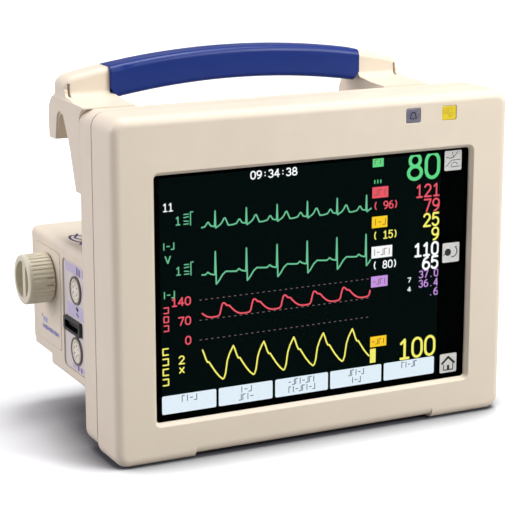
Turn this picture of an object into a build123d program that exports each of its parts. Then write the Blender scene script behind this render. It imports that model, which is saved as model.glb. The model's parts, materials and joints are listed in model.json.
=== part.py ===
from build123d import *
import math
import os

# A portable bedside patient monitor: a flat display case in front, a lower electronics block behind
# it, a keel with the battery underneath, and a carrying handle on two arms above.
# Millimetres. X runs right and Y runs back from the front face, Z up from the table. Everything is
# drawn from the middle of the front face, and write() moves it to the middle of the footprint.

# ---- display case -------------------------------------------------------------------------------
CASE_X = 120.0          # half the width of the case
CASE_TOP = 187.0
CASE_CORNER = 8.0
WALL = 2.8
FRONT_WALL = 3.2
FOOT_STEP = 1.8         # how far the bottom is raised between the two end pads
FOOT_INNER_X = 74.0
BEZEL_END = 26.6        # the bezel's rear edge
GASKET = 0.8
COVER_START = BEZEL_END + GASKET
COVER_END = 44.0
COVER_BOTTOM = 3.0
FACE_ROUND = 5.0
TOP_ROUND = 8.0         # the cover's rounded top edge at the back
INNER_CORNER = 5.5      # the corners of the hollow inside the case
PAD_TALL = 20.0         # the end pads run up into the face as far as this
THROUGH_FRONT = (-1.0, 5.0)     # a cut past both faces of the front wall
BOSS_START = FRONT_WALL - 0.5   # the bosses grow out of the front wall

WINDOW_X = 96.0
WINDOW_Z = (22.1, 155.8)
WINDOW_CORNER = 2.0
WINDOW_BEVEL = 1.8
WINDOW_BEVEL_DEPTH = 2.2
GLASS_X = (-100.5, 100.5)
GLASS_Y = (3.7, 5.5)
GLASS_Z = (17.6, 160.3)
DISPLAY_X = (-91.5, 79.4)
DISPLAY_Z = (25.1, 153.3)
LCD_X = (-102.0, 90.0)
LCD_Z = (16.0, 162.0)
LCD_Y = (6.8, 9.4)
BACKLIGHT_Y = (9.6, 13.4)
LCD_FRAME_Y = (5.8, 13.6)
BRACKET_X = (-104.0, 104.0)
BRACKET_Y = (14.0, 15.2)
BRACKET_Z = (28.0, 152.0)
INVERTER_Y = (18.2, 19.8)
CABLE_THICK = 0.6
CABLE_REAR = 62.0

LAMP_Y = (0.15, 4.4)
LAMP_Z = (172.4, 180.4)
LAMP_FLANGE = 1.1       # the rim that holds a lens behind the front wall
LED_BOARD_Y = (8.0, 9.4)
LED_R = 2.4
LAMPS_X = {"alarm_lens_grey": (53.2, 62.3), "alarm_lens_yellow": (76.3, 85.4)}

# ---- handle -------------------------------------------------------------------------------------
ARM_LEFT_X = (-CASE_X, -90.5)
ARM_RIGHT_X = (61.0, 90.0)
BAR_ENDS_X = (-119.2, 87.5)     # the rounded outer ends of the bar that the arms carry
BAR_Y = (67.5, 84.8)
BAR_ROUND = 3.4
GRIP_X = (-93.0, 60.5)
GRIP_Y = (65.5, 84.5)
GRIP_RISE = 6.5         # how much the grip's middle stands above its ends
CORE_X = (-111.5, 80.5)
CORE_Y = (69.5, 81.5)
CORE_Z = (196.3, 199.3)
HANDLE_SCREWS_X = (-105.0, 75.5)
HANDLE_SCREW_Y = 73.2
ARCH_TOP = 179.5        # the crown of the hook that drops over a rail

# ---- electronics block --------------------------------------------------------------------------
BLOCK_X = (-117.0, 88.5)
BLOCK_Z = (30.0, 106.0)
BLOCK_REAR = 131.0      # where the shell ends and the rear cover begins
REAR_FACE = 135.0
STEP_Y = 104.0          # behind this the underside is higher
STEP_Z = 37.0
BLOCK_WALL = 2.6
CONNECTOR_Y = (48.5, 83.5)
CONNECTOR_Z = (36.0, 98.0)
MODULE_Y = (87.0, 126.0)
MODULE_Z = (42.0, 99.0)
CONNECTOR_X = (-116.2, -113.8)
MODULE_X = (-117.4, -114.2)
LEFT_SEAT = -113.6       # how deep the shell is cut for the two left panels
PANEL_X = (86.1, 88.3)   # the panel on the right side
PANEL_Y = (52.0, 122.0)
PANEL_Z = (42.0, 96.0)
PANEL_FIT = 0.15
RIGHT_CUT = (80.0, 95.0)        # a cut past both faces of the right panel
SOCKETS_Z = (48.3, 82.9)
SOCKET_Y = 64.6
SOCKET_R = 7.95
OXIMETER_Y = (56.5, 81.5)
OXIMETER_Z = (57.6, 65.6)
KNOB_Y, KNOB_Z = 106.0, 81.5
KNOB_R = 14.25
KNOB_X = (-133.0, -118.2)
FLUTES = 34
FLUTE_R = 0.75
KNOB_RECESS_R = 10.6
SPINDLE_R = 3.0
BUSH_R = 5.0
SWITCH_Y = (62.6, 77.4)
SWITCH_Z = (75.2, 88.8)
ROCKER_PIN_R = 1.2
ROCKER_X, ROCKER_Z = 87.2, 82.0
ROCKER_Y = (64.1, 75.9)
GRILLE_Y, GRILLE_Z = 104.0, 81.0
GRILLE_PITCH = 4.2
INLET_Y, LOWER_Z = 62.0, 54.0
INLET_R = 6.0
GROUND_Y = 75.5
GROUND_R = 2.55
PORT_Y = 96.5
PORT_HALF_Y, PORT_HALF_Z = 8.4, 4.2
CUFF_Y, CUFF_Z = 85.0, 68.0
CUFF_R = 3.95
LOUVRES = 14
LOUVRE_X = -78.0        # the first louvre
LOUVRE_PITCH = 9.4
LOUVRE_Z = (58.0, 90.0)

# ---- keel and battery ---------------------------------------------------------------------------
KEEL_X = (-75.0, 45.0)
KEEL_Y = (COVER_END, 120.0)
KEEL_Z = (2.5, BLOCK_Z[0])
KEEL_WALL = 2.4
HINGE_R = 2.4
PIN_R = 1.0
FOOT_R = 7.1
FOOT_HIGH = 3.3
DOOR_GAP = 0.4
DOOR_THICK = 2.4
HINGE_X = KEEL_X[1] + DOOR_GAP + DOOR_THICK
HINGE_Y = 117.2
REAR_FEET = [(-62.0, 107.0), (33.0, 107.0)]
BOLTS = [(x, y) for x in (-65.0, 35.0) for y in (55.0, 92.0)]
BOLT_R = 2.1
BATTERY_X = (-58.0, 41.5)
BATTERY_Y = (51.0, 111.0)
BATTERY_Z = (6.6, 26.8)

# ---- inside the block ---------------------------------------------------------------------------
CHASSIS_TOP = 42.2
BOARD_Z = (48.2, 49.8)
STANDOFFS = [(x, y) for x in (-86, -8, 70) for y in (62, 119)]
PUMP_Y, PUMP_Z = 100.0, 63.0
SHAFT_R = 1.5

# ---- fasteners: the X and Z of each screw's axis, and the depths that they clamp -------------------
SCREW_R = 1.6
PILOT_R = SCREW_R - 0.1
LOOSE_R = SCREW_R + 0.1
HEAD_HOLE_R = 3.2
RUNNING = 0.05          # radial clearance of the turning fits
COVER_SCREWS = [(x, z) for x in (-110.0, 110.0) for z in (16.0, 128.0)] + [(-60.0, 177.5), (30.0, 177.5)]
BODY_SCREWS = [(x, z) for x in (-105.0, 76.0) for z in (40.0, 96.0)]
ARM_SCREWS = [(x, z) for x in HANDLE_SCREWS_X for z in (150.0, 170.0)]
BRACKET_SCREWS = [(x, z) for x in (-109.5, 109.5) for z in (40.0, 100.0)]
LID_SCREWS = [(x, z) for x in (-109.0, 80.5) for z in (46.0, 95.0)]
LED_PEGS_X = (48.6, 90.0)
SCREW_HEAD_Y = 38.0     # the seat of the screws that close the display case

# The row's origin is the middle of the overall footprint, on the table.
ORIGIN = Vector((KNOB_X[0] + CASE_X) / 2, REAR_FACE / 2, 0)


def write(name, *solids):
    """Write one sub-part, moved so that the origin is the middle of the footprint."""
    shift = Location(-ORIGIN)
    shapes = [solid.moved(shift) for part in solids for solid in part.solids()]
    export_step(Compound(children=shapes) if len(shapes) > 1 else shapes[0], f"parts/{name}.step")


def block(x, y, z):
    """A plain block between two limits on each axis."""
    size = [high - low for low, high in (x, y, z)]
    middle = [(low + high) / 2 for low, high in (x, y, z)]
    return Pos(*middle) * Box(*size)


def rod(axis, radius, u, v, span):
    """A round bar along an axis; u and v are its other two coordinates in X, Y, Z order."""
    middle = (span[0] + span[1]) / 2
    bar = Cylinder(radius, span[1] - span[0])
    if axis == "x":
        return Pos(middle, u, v) * Rot(0, 90, 0) * bar
    if axis == "y":
        return Pos(u, middle, v) * Rot(90, 0, 0) * bar
    return Pos(u, v, middle) * bar


def tube(axis, outer, inner, u, v, span):
    return rod(axis, outer, u, v, span) - rod(axis, inner, u, v, (span[0] - 1, span[1] + 1))


def plate_xz(x, y, z, corner):
    """A plate with rounded corners, thick along Y."""
    face = RectangleRounded(x[1] - x[0], z[1] - z[0], corner)
    plane = Plane.XZ.offset(-y[1]) * Pos((x[0] + x[1]) / 2, (z[0] + z[1]) / 2)
    return extrude(plane * face, y[1] - y[0])


def plate_yz(x, y, z, corner):
    """A plate with rounded corners, thick along X."""
    face = RectangleRounded(y[1] - y[0], z[1] - z[0], corner)
    plane = Plane.YZ.offset(x[0]) * Pos((y[0] + y[1]) / 2, (z[0] + z[1]) / 2)
    return extrude(plane * face, x[1] - x[0])


def prism_x(outline, x):
    """Extrude a closed outline of the YZ plane between two X limits."""
    return extrude(Plane.YZ.offset(x[0]) * make_face(outline), x[1] - x[0])


def prism_y(outline, y):
    """Extrude a closed outline of the XZ plane between two Y limits."""
    return extrude(Plane.XZ.offset(-y[1]) * make_face(outline), y[1] - y[0])


def grow(span, amount):
    return (span[0] - amount, span[1] + amount)


def ring_xz(outer_x, y, outer_z, width, corner):
    outer = plate_xz(outer_x, y, outer_z, corner)
    hole = plate_xz(grow(outer_x, -width), grow(y, 1), grow(outer_z, -width), max(corner - width, 0.5))
    return outer - hole


# ---- screws: one function for every fastener ------------------------------------------------------
def screw_y(x, z, head, tip, head_r=2.9, head_h=2.2):
    """A pan head screw along Y; its head starts at head and it points to tip."""
    way = 1 if tip > head else -1
    seat = head + way * head_h
    cap = rod("y", head_r, x, z, sorted((head, seat)))
    slot = block((x - head_r, x + head_r), sorted((head - way, head + way * 0.8)), (z - 0.4, z + 0.4))
    return cap - slot + rod("y", PILOT_R, x, z, sorted((seat, tip)))


# ---- display case -------------------------------------------------------------------------------
def front_bezel():
    case_x = (-CASE_X, CASE_X)
    raised = plate_xz(case_x, (0, BEZEL_END), (FOOT_STEP, CASE_TOP), CASE_CORNER)
    raised = fillet(raised.edges().group_by(Axis.Y)[0], FACE_ROUND)
    full = plate_xz(case_x, (0, BEZEL_END), (0, CASE_TOP), CASE_CORNER)
    full = fillet(full.edges().group_by(Axis.Y)[0], FACE_ROUND)
    ends = block((-CASE_X, -FOOT_INNER_X), (0, BEZEL_END), (0, PAD_TALL))
    ends += block((FOOT_INNER_X, CASE_X), (0, BEZEL_END), (0, PAD_TALL))
    pads = full & ends
    inside = plate_xz(grow(case_x, -WALL), (FRONT_WALL, 40), (FOOT_STEP + WALL, CASE_TOP - WALL), INNER_CORNER)
    bezel = raised + pads - inside
    sides = (-WINDOW_X, WINDOW_X)
    bezel -= plate_xz(sides, THROUGH_FRONT, WINDOW_Z, WINDOW_CORNER)
    lip = Plane.XZ * Pos(0, sum(WINDOW_Z) / 2)
    wide = 2 * WINDOW_X + 2 * WINDOW_BEVEL
    tall = WINDOW_Z[1] - WINDOW_Z[0] + 2 * WINDOW_BEVEL
    outer = lip * RectangleRounded(wide, tall, WINDOW_CORNER + WINDOW_BEVEL)
    inner = Plane.XZ.offset(-WINDOW_BEVEL_DEPTH) * Pos(0, sum(WINDOW_Z) / 2)
    inner = inner * RectangleRounded(2 * WINDOW_X, WINDOW_Z[1] - WINDOW_Z[0], WINDOW_CORNER)
    bezel -= loft([outer.face(), inner.face()])
    for span in LAMPS_X.values():
        bezel -= plate_xz(grow(span, 0.1), THROUGH_FRONT, grow(LAMP_Z, 0.1), 1.1)
    for x, z in COVER_SCREWS:
        bezel += rod("y", 3.6, x, z, (BOSS_START, COVER_START))
    for x, z in BRACKET_SCREWS:
        bezel += rod("y", 3.4, x, z, (BOSS_START, BRACKET_Y[0]))
    for x in LED_PEGS_X:
        bezel += rod("y", LED_R, x, sum(LAMP_Z) / 2, (BOSS_START, LED_BOARD_Y[0]))
    for x, z in COVER_SCREWS:
        bezel -= rod("y", PILOT_R, x, z, (16, COVER_START + 1))
    for x, z in BRACKET_SCREWS:
        bezel -= rod("y", PILOT_R, x, z, (7, BRACKET_Y[0] + 1))
    return bezel


def alarm_lens(span):
    """A square lens, held by a rim behind the front wall."""
    body = plate_xz(span, LAMP_Y, LAMP_Z, 1.0)
    body = fillet(body.edges().group_by(Axis.Y)[0], 0.5)
    rim = plate_xz(grow(span, LAMP_FLANGE), (FRONT_WALL, LAMP_Y[1]), grow(LAMP_Z, LAMP_FLANGE), 1.6)
    return body + rim


def alarm_led_board():
    board = block((45.5, 93.0), LED_BOARD_Y, (169.5, 183.0))
    for span in LAMPS_X.values():
        board += rod("y", LED_R, sum(span) / 2, sum(LAMP_Z) / 2, (5.2, LED_BOARD_Y[0]))
    return board


def lcd_frame():
    """A thin metal tray that holds the panel and its backlight together."""
    outer = block(grow(LCD_X, 1.0), LCD_FRAME_Y, grow(LCD_Z, 1.0))
    tray = block(grow(LCD_X, 0.2), (LCD_FRAME_Y[0] + 0.8, 20), grow(LCD_Z, 0.2))
    window = block(grow(DISPLAY_X, 2.0), (5, 8), grow(DISPLAY_Z, 1.7))
    return outer - tray - window


def display_bracket():
    """The plate behind the display, with ears that reach the bezel's side bosses."""
    plate = block(BRACKET_X, BRACKET_Y, BRACKET_Z)
    for side in (-1, 1):
        plate += block(sorted((side * (BRACKET_X[1] - 1), side * 113.2)), BRACKET_Y, (34, 106))
    plate -= plate_xz((-60, 50), (13, 17), (58, 124), 6)
    plate += block(BRACKET_X, (BRACKET_Y[0], 22), (BRACKET_Z[0], BRACKET_Z[0] + 1.2))
    for x, z in BRACKET_SCREWS:
        plate -= rod("y", SCREW_R, x, z, (13, 17))
    return plate


def backlight_inverter():
    """The backlight's supply board on two posts, with its transformer and a capacitor."""
    near, far = INVERTER_Y
    board = block((-90, -66), INVERTER_Y, (66, 140))
    for z in (70, 136):
        board += rod("y", 2.2, -78, z, (BRACKET_Y[1], near))
    board += block((-86, -70), (far, 27), (76, 96))
    return board + block((-85, -71), (far, 24), (108, 130))


def ribbon_cable():
    """The flat cable from the display down and back to the main board."""
    x = (-22, 6)
    start = LCD_FRAME_Y[1]
    run = (72, 72 + CABLE_THICK)
    path = block(x, (start, start + CABLE_THICK), (60, 84))
    path += block(x, (start, CABLE_REAR), run)
    return path + block(x, (CABLE_REAR - CABLE_THICK, CABLE_REAR), (56, run[1]))


def display_rear_cover():
    case_x = (-CASE_X, CASE_X)
    top = CASE_TOP - TOP_ROUND
    back = COVER_END
    start = COVER_START
    round_start = back - TOP_ROUND
    side = RadiusArc((back, top), (round_start, CASE_TOP), -TOP_ROUND)
    side += Polyline((round_start, CASE_TOP), (start, CASE_TOP), (start, COVER_BOTTOM), (back, COVER_BOTTOM),
                     (back, top))
    outer = plate_xz(case_x, (start, back), (COVER_BOTTOM, CASE_TOP), CASE_CORNER)
    outer &= prism_x(side, case_x)
    floor_z = COVER_BOTTOM + WALL
    inner_back = back - WALL
    ceiling = CASE_TOP - WALL
    mouth = start - 1
    hollow = RadiusArc((inner_back, top), (round_start, ceiling), WALL - TOP_ROUND)
    hollow += Polyline((round_start, ceiling), (mouth, ceiling), (mouth, floor_z), (inner_back, floor_z),
                       (inner_back, top))
    inside = plate_xz(grow(case_x, -WALL), (mouth, inner_back), (floor_z, ceiling), INNER_CORNER)
    cover = outer - (inside & prism_x(hollow, case_x))
    cover -= plate_xz((-70, 20), (40, 46), (45, 92), 4)
    for x, z in COVER_SCREWS:
        cover += rod("y", 4.6, x, z, (COVER_START, COVER_END - 1))
    for x, z in COVER_SCREWS:
        cover -= rod("y", LOOSE_R, x, z, (20, 50))
        cover -= rod("y", HEAD_HOLE_R, x, z, (SCREW_HEAD_Y, 50))
    for x, z in BODY_SCREWS + ARM_SCREWS:
        cover -= rod("y", SCREW_R, x, z, (40, 50))
    return cover


# ---- handle -------------------------------------------------------------------------------------
def arm_bar(x, end):
    """The end of the carrying bar on an arm: its top falls away and its outer end is rounded."""
    out = math.copysign(1, end)
    inner = GRIP_X[0] if end < 0 else x[0]
    foot, top = 189.0, 204.0
    shoulder = (end - out * 8.6, 200.9)
    upper = Spline((inner, top), shoulder, (end, 193.4), tangents=[(out, -0.1), (0, -1)])
    outline = upper + Polyline((end, 193.4), (end, foot), (inner, foot), (inner, top))
    bar = prism_y(outline, BAR_Y)
    for face in (0, -1):
        rim = bar.edges().group_by(Axis.Y)[face]
        curved = [edge for edge in rim if edge.geom_type != GeomType.LINE]
        bar = fillet(curved, BAR_ROUND)
    return bar


def handle_arm(x, end):
    """One arm: a hook over a bed rail below, a deck over the case and a short end of the bar."""
    top = CASE_TOP - TOP_ROUND
    deck = 187.5
    lip_y = COVER_END - TOP_ROUND + 2.0
    lip_z = top + math.sqrt(TOP_ROUND ** 2 - 2.0 ** 2)
    front = BAR_Y[0]
    leg = Polyline((COVER_END, top), (COVER_END, 141), (51, 141), (60, 166))
    arch = FilletPolyline((60, 166), (69.5, ARCH_TOP), (76.2, ARCH_TOP), (79.5, 165), radius=4.0)
    back = Polyline((79.5, 165), (90, 164.5), (90.6, 176))
    back += Spline((90.6, 176), (87.6, 185.2), (80.0, 191.4), tangents=[(0, 1), (-1.2, 1)])
    step = [(80.0, 191.4), (79.0, 193.2), (front, 193.2), (front, 189.6), (52, 187.9), (lip_y, deck)]
    step = FilletPolyline(*step, radius=[0.6, 0.6, 3.0, 4.0])
    lip = Line((lip_y, deck), (lip_y, lip_z)) + RadiusArc((lip_y, lip_z), (COVER_END, top), TOP_ROUND)
    arm = prism_x(leg + arch + back + step + lip, x)
    # above the deck, the arm draws in to the end of the bar
    out_x, in_x = (x[0], x[1]) if end < 0 else (x[1], x[0])
    flare = Line((in_x, 130), (in_x, 210)) + Line((in_x, 210), (end, 210)) + Line((end, 210), (end, 191.0))
    flare += Spline((end, 191.0), (out_x, 187.9), tangents=[(0, -1), (out_x - end, -0.2)])
    flare += Line((out_x, 187.9), (out_x, 130)) + Line((out_x, 130), (in_x, 130))
    arm &= prism_y(flare, (30, 100))
    arm += arm_bar(x, end)
    slit = end - math.copysign(2.6, end)
    arm -= block((slit - 0.7, slit + 0.7), (64, 70.0), (189.2, 196.2))
    if end < 0:
        arm -= block((GRIP_X[0], x[1] + 1), (60, 90), (190.0, 210))
        arm -= prism_y(grip_outline(), GRIP_Y)
    # a shallow rebate round the arch, on the arm's outer face
    crown = ARCH_TOP + 1.3
    rebate = FilletPolyline((57.6, 160.6), (68.8, crown), (77.2, crown), (81.2, 160.6), radius=5.0)
    rebate += Line((81.2, 160.6), (57.6, 160.6))
    arm -= prism_x(rebate, sorted((out_x, out_x - math.copysign(1.0, out_x))))
    arm -= block(CORE_X, grow(CORE_Y, 0.1), grow(CORE_Z, 0.1))
    middle = HANDLE_SCREWS_X[0] if end < 0 else HANDLE_SCREWS_X[1]
    arm -= rod("z", SCREW_R + 0.5, middle, HANDLE_SCREW_Y, (170, CORE_Z[1]))
    arm -= rod("z", 3.9, middle, HANDLE_SCREW_Y, (170, 181.6))
    for px, pz in ARM_SCREWS:
        arm -= rod("y", SCREW_R, px, pz, (40, 51.5))
    return arm


def grip_outline():
    """The arched bar from the front: two arcs, square ends with their lower corners cut off."""
    left, right = GRIP_X
    middle = (left + right) / 2
    top, bottom, cut = 204.6, 187.4, 192.6
    line = ThreePointArc((left, top), (middle, top + GRIP_RISE), (right, top + 0.6))
    line += Line((right, top + 0.6), (right, cut)) + Line((right, cut), (right - 3.6, bottom + 0.4))
    crown = (middle, bottom + GRIP_RISE - 0.2)
    line += ThreePointArc((right - 3.6, bottom + 0.4), crown, (left + 3.4, bottom))
    return line + Line((left + 3.4, bottom), (left, cut)) + Line((left, cut), (left, top))


def handle_grip():
    grip = prism_y(grip_outline(), GRIP_Y)
    front, rear = GRIP_Y
    for y, low, radius in ((front, 198, 3.6), (rear, 198, 5.0), (front, 180, 2.4), (rear, 180, 2.4)):
        level = grip.edges().filter_by(lambda edge: edge.length > 100)
        level = level.filter_by_position(Axis.Y, y - 0.1, y + 0.1)
        level = level.filter_by_position(Axis.Z, low, low + 18)
        grip = fillet(level, radius)
    return grip - block(grow(GRIP_X, 5), grow(CORE_Y, 0.1), grow(CORE_Z, 0.1))


def handle_core_bar():
    bar = block(grow(CORE_X, -0.2), CORE_Y, CORE_Z)
    for x in HANDLE_SCREWS_X:
        bar -= rod("z", SCREW_R + 0.3, x, HANDLE_SCREW_Y, (190, 210))
    return bar


def handle_screw(x):
    head = rod("z", 3.6, x, HANDLE_SCREW_Y, (178.8, 181.6))
    socket = extrude(Plane.XY.offset(177) * Pos(x, HANDLE_SCREW_Y) * RegularPolygon(1.9, 6), 3.4)
    return head - socket + rod("z", SCREW_R + 0.3, x, HANDLE_SCREW_Y, (181.6, CORE_Z[1]))


# ---- electronics block --------------------------------------------------------------------------
def block_outline(shrink, front, rear):
    """The block's side view: its underside steps up towards the back."""
    low, high = BLOCK_Z[0] + shrink, BLOCK_Z[1] - shrink
    step_y, step_z = STEP_Y - shrink, STEP_Z + shrink
    under = [(front, low), (step_y, low), (step_y, step_z), (rear, step_z)]
    return Polyline(*under, (rear, high), (front, high), close=True)


def body_shell():
    shell = prism_x(block_outline(0, COVER_END, BLOCK_REAR), BLOCK_X)
    long_top = shell.edges().filter_by(Axis.Y).group_by(Axis.Z)[-1]
    shell = fillet(long_top, 4.0)
    low_edges = shell.edges().filter_by(Axis.Y).group_by(Axis.Z)[0]
    shell = fillet(low_edges, 2.5)
    hollow = block_outline(BLOCK_WALL, COVER_END + BLOCK_WALL, BLOCK_REAR + 5)
    shell -= prism_x(hollow, grow(BLOCK_X, -BLOCK_WALL))
    shell -= plate_xz((-68, 18), (40, 50), (47, 90), 4)
    for x, z in LID_SCREWS:
        wall = BLOCK_X[0] + 1 if x < 0 else BLOCK_X[1] - 1
        rib = block(sorted((x, wall)), (114, BLOCK_REAR), (z - 2, z + 2))
        shell += rod("y", 4.0, x, z, (114, BLOCK_REAR)) + rib
    for x, z in BODY_SCREWS:
        shell += rod("y", 4.2, x, z, (COVER_END + 1, 54))
    shell -= plate_yz((-120, LEFT_SEAT), CONNECTOR_Y, CONNECTOR_Z, 3.5)
    shell -= plate_yz((-120, LEFT_SEAT), MODULE_Y, MODULE_Z, 2.5)
    shell -= plate_yz((85.6, 92), PANEL_Y, PANEL_Z, 3)
    for x, z in LID_SCREWS:
        shell -= rod("y", PILOT_R, x, z, (116, BLOCK_REAR + 1))
    for x, z in BODY_SCREWS:
        shell -= rod("y", SCREW_R, x, z, (40, 52))
    return shell


def connector_panel():
    """The sunk panel that carries the patient sockets."""
    panel = plate_yz(CONNECTOR_X, grow(CONNECTOR_Y, -PANEL_FIT), grow(CONNECTOR_Z, -PANEL_FIT), 3.3)
    for z in SOCKETS_Z:
        panel -= rod("x", SOCKET_R + 0.1, SOCKET_Y, z, (-118, -110))
    panel -= block((-120, -110), grow(OXIMETER_Y, 0.1), grow(OXIMETER_Z, 0.1))
    return panel


def socket_ring(z):
    ring = tube("x", SOCKET_R, 6.75, SOCKET_Y, z, (-117.2, -108))
    return ring + tube("x", 9.1, 7.0, SOCKET_Y, z, (-113.7, -112.0))


def pressure_socket(z):
    """The white insert with six contact holes, a groove round them and a keyway above."""
    body = rod("x", 6.7, SOCKET_Y, z, (-116.9, -99))
    body -= tube("x", 5.6, 4.9, SOCKET_Y, z, (-118, -116.2))
    for turn in range(6):
        angle = math.radians(60 * turn + 30)
        y, up = SOCKET_Y + 3.1 * math.cos(angle), z + 3.1 * math.sin(angle)
        body -= rod("x", 0.75, y, up, (-118, -112))
    return body - block((-118, -114), (SOCKET_Y - 0.8, SOCKET_Y + 0.8), (z + 4.6, z + 6.2))


def oximeter_connector():
    body = plate_yz((-118.0, -99), OXIMETER_Y, OXIMETER_Z, 1.6)
    mouth = plate_yz((-119, -108), (59.0, 79.0), (59.4, 63.8), 1.2)
    tongue = block((-116.5, -107), (61.5, 76.5), (61.2, 62.2))
    return body - mouth + tongue


def knob_panel():
    """The panel of the parameter module, which the quarter-turn knob locks into the shell."""
    panel = plate_yz(MODULE_X, grow(MODULE_Y, -PANEL_FIT), grow(MODULE_Z, -PANEL_FIT), 2.3)
    panel = fillet(panel.edges().group_by(Axis.X)[0], 0.5)
    boss = rod("x", 9.5, KNOB_Y, KNOB_Z, (MODULE_X[0], -110))
    return panel + boss - rod("x", BUSH_R, KNOB_Y, KNOB_Z, (-119, -105))


def lock_knob():
    """A fluted knob, hollow at its outer end but for a finger bar, with two index slots at its foot."""
    knob = rod("x", KNOB_R, KNOB_Y, KNOB_Z, KNOB_X)
    knob = fillet(knob.edges().group_by(Axis.X)[0], 1.2)
    for turn in range(FLUTES):
        angle = 2 * math.pi * turn / FLUTES
        y = KNOB_Y + (KNOB_R + 0.25) * math.cos(angle)
        z = KNOB_Z + (KNOB_R + 0.25) * math.sin(angle)
        knob -= rod("x", FLUTE_R, y, z, (KNOB_X[0] + 2.2, KNOB_X[1] + 1))
    recess = rod("x", KNOB_RECESS_R, KNOB_Y, KNOB_Z, (KNOB_X[0] - 1, KNOB_X[0] + 10.5))
    bar = block((KNOB_X[0] + 1.2, KNOB_X[1]), (KNOB_Y - 2.2, KNOB_Y + 2.2), (KNOB_Z - 20, KNOB_Z + 20))
    knob -= recess - bar
    for angle in (168, 186):
        mark = Pos(-121.0, KNOB_Y, KNOB_Z) * Rot(angle - 180, 0, 0) * Pos(0, -KNOB_R, 0) * Box(4.2, 2.4, 0.8)
        knob -= mark
    return knob - rod("x", SPINDLE_R, KNOB_Y, KNOB_Z, (KNOB_X[1] - 5, KNOB_X[1] + 1))


def knob_spindle():
    return rod("x", SPINDLE_R, KNOB_Y, KNOB_Z, (KNOB_X[1] - 5, -103.5))


def knob_bush():
    sleeve = tube("x", BUSH_R, SPINDLE_R + RUNNING, KNOB_Y, KNOB_Z, (-117.7, -108.2))
    return sleeve + tube("x", 6.6, 4.9, KNOB_Y, KNOB_Z, (-110.0, -108.2))


def lock_cam():
    """The cross bar on the spindle's inner end that turns behind the shell's catch."""
    bar = block((-107.6, -104.4), (KNOB_Y - 4.2, KNOB_Y + 4.2), (KNOB_Z - 10.5, KNOB_Z + 10.5))
    return bar - rod("x", SPINDLE_R, KNOB_Y, KNOB_Z, (-110, -100))


def patient_input_board():
    return block((-98.6, -97.0), (50, 84), (44, 99)) + block((-97.0, -92.0), (54, 62), (60, 84))


# ---- right side ---------------------------------------------------------------------------------
def right_panel():
    panel = plate_yz(PANEL_X, grow(PANEL_Y, -PANEL_FIT), grow(PANEL_Z, -PANEL_FIT), 2.8)
    panel -= block(RIGHT_CUT, SWITCH_Y, SWITCH_Z)
    holes = [(INLET_R, INLET_Y, LOWER_Z), (GROUND_R, GROUND_Y, LOWER_Z), (CUFF_R, CUFF_Y, CUFF_Z)]
    for radius, y, z in holes:
        panel -= rod("x", radius + RUNNING, y, z, RIGHT_CUT)
    port_y = (PORT_Y - PORT_HALF_Y, PORT_Y + PORT_HALF_Y)
    port_z = (LOWER_Z - PORT_HALF_Z, LOWER_Z + PORT_HALF_Z)
    panel -= block(RIGHT_CUT, grow(port_y, 0.2), grow(port_z, 0.2))
    for row in range(-2, 3):
        for column in range(-2, 3):
            if abs(row) + abs(column) < 4:
                y = GRILLE_Y + GRILLE_PITCH * row
                z = GRILLE_Z + GRILLE_PITCH * column
                panel -= rod("x", 1.3, y, z, RIGHT_CUT)
    return panel


def rocker_bezel():
    frame = plate_yz((82.6, 89.6), SWITCH_Y, SWITCH_Z, 0.8)
    frame += plate_yz((88.4, 89.6), grow(SWITCH_Y, 1.6), grow(SWITCH_Z, 1.6), 1.2)
    frame -= block((82, 91), grow(SWITCH_Y, -1.0), grow(SWITCH_Z, -1.0))
    return frame - rod("y", ROCKER_PIN_R + RUNNING, ROCKER_X, ROCKER_Z, (62.9, 77.1))


def power_rocker():
    """The on/off rocker, drawn at its middle and tipped to off."""
    outline = Polyline((-2.0, -4.2), (2.7, -4.7), (1.5, 0), (2.7, 4.7), (-2.0, 4.2), close=True)
    key = extrude(Plane.XZ.offset(-ROCKER_Y[1]) * make_face(outline), ROCKER_Y[1] - ROCKER_Y[0])
    key += rod("y", ROCKER_PIN_R, 0, 0, (63.0, 77.0))
    return Pos(ROCKER_X, 0, ROCKER_Z) * Rot(0, -8, 0) * key


def switch_body():
    body = block((72, 82.6), (63, 77), (75.6, 88.4))
    for y in (66, 74):
        body += block((66, 72), (y - 0.4, y + 0.4), (80, 84))
    return body


def dc_power_inlet():
    body = tube("x", INLET_R, 4.2, INLET_Y, LOWER_Z, (78, 89.4))
    body += rod("x", INLET_R, INLET_Y, LOWER_Z, (74, 80))
    body += tube("x", 7.6, 5.0, INLET_Y, LOWER_Z, (88.3, 89.4))
    return body + rod("x", 1.0, INLET_Y, LOWER_Z, (78, 88))


def ground_post():
    post = rod("x", GROUND_R, GROUND_Y, LOWER_Z, (80, 96)) + rod("x", 4.2, GROUND_Y, LOWER_Z, (88.3, 90.2))
    return post - rod("x", 1.0, GROUND_Y, LOWER_Z, (90, 97))


def serial_port():
    flange = plate_yz((88.3, 89.3), (PORT_Y - 15.4, PORT_Y + 15.4), (LOWER_Z - 6.2, LOWER_Z + 6.2), 1.5)
    shell_y = (PORT_Y - PORT_HALF_Y, PORT_Y + PORT_HALF_Y)
    shell_z = (LOWER_Z - PORT_HALF_Z, LOWER_Z + PORT_HALF_Z)
    shell = plate_yz((76, 94.2), shell_y, shell_z, 2.0)
    mouth = plate_yz((88.5, 95), grow(shell_y, -0.8), grow(shell_z, -0.8), 1.4)
    port = flange + shell - mouth
    for index in range(9):
        row, place = divmod(index, 5)
        y = PORT_Y + 2.74 * (place - (2 if row == 0 else 1.5))
        port += rod("x", 0.5, y, LOWER_Z + (1.4 if row == 0 else -1.4), (88, 93))
    for side in (-1, 1):
        port += rod("x", 2.4, PORT_Y + side * 12.5, LOWER_Z, (89.3, 93.5))
    return port


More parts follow.
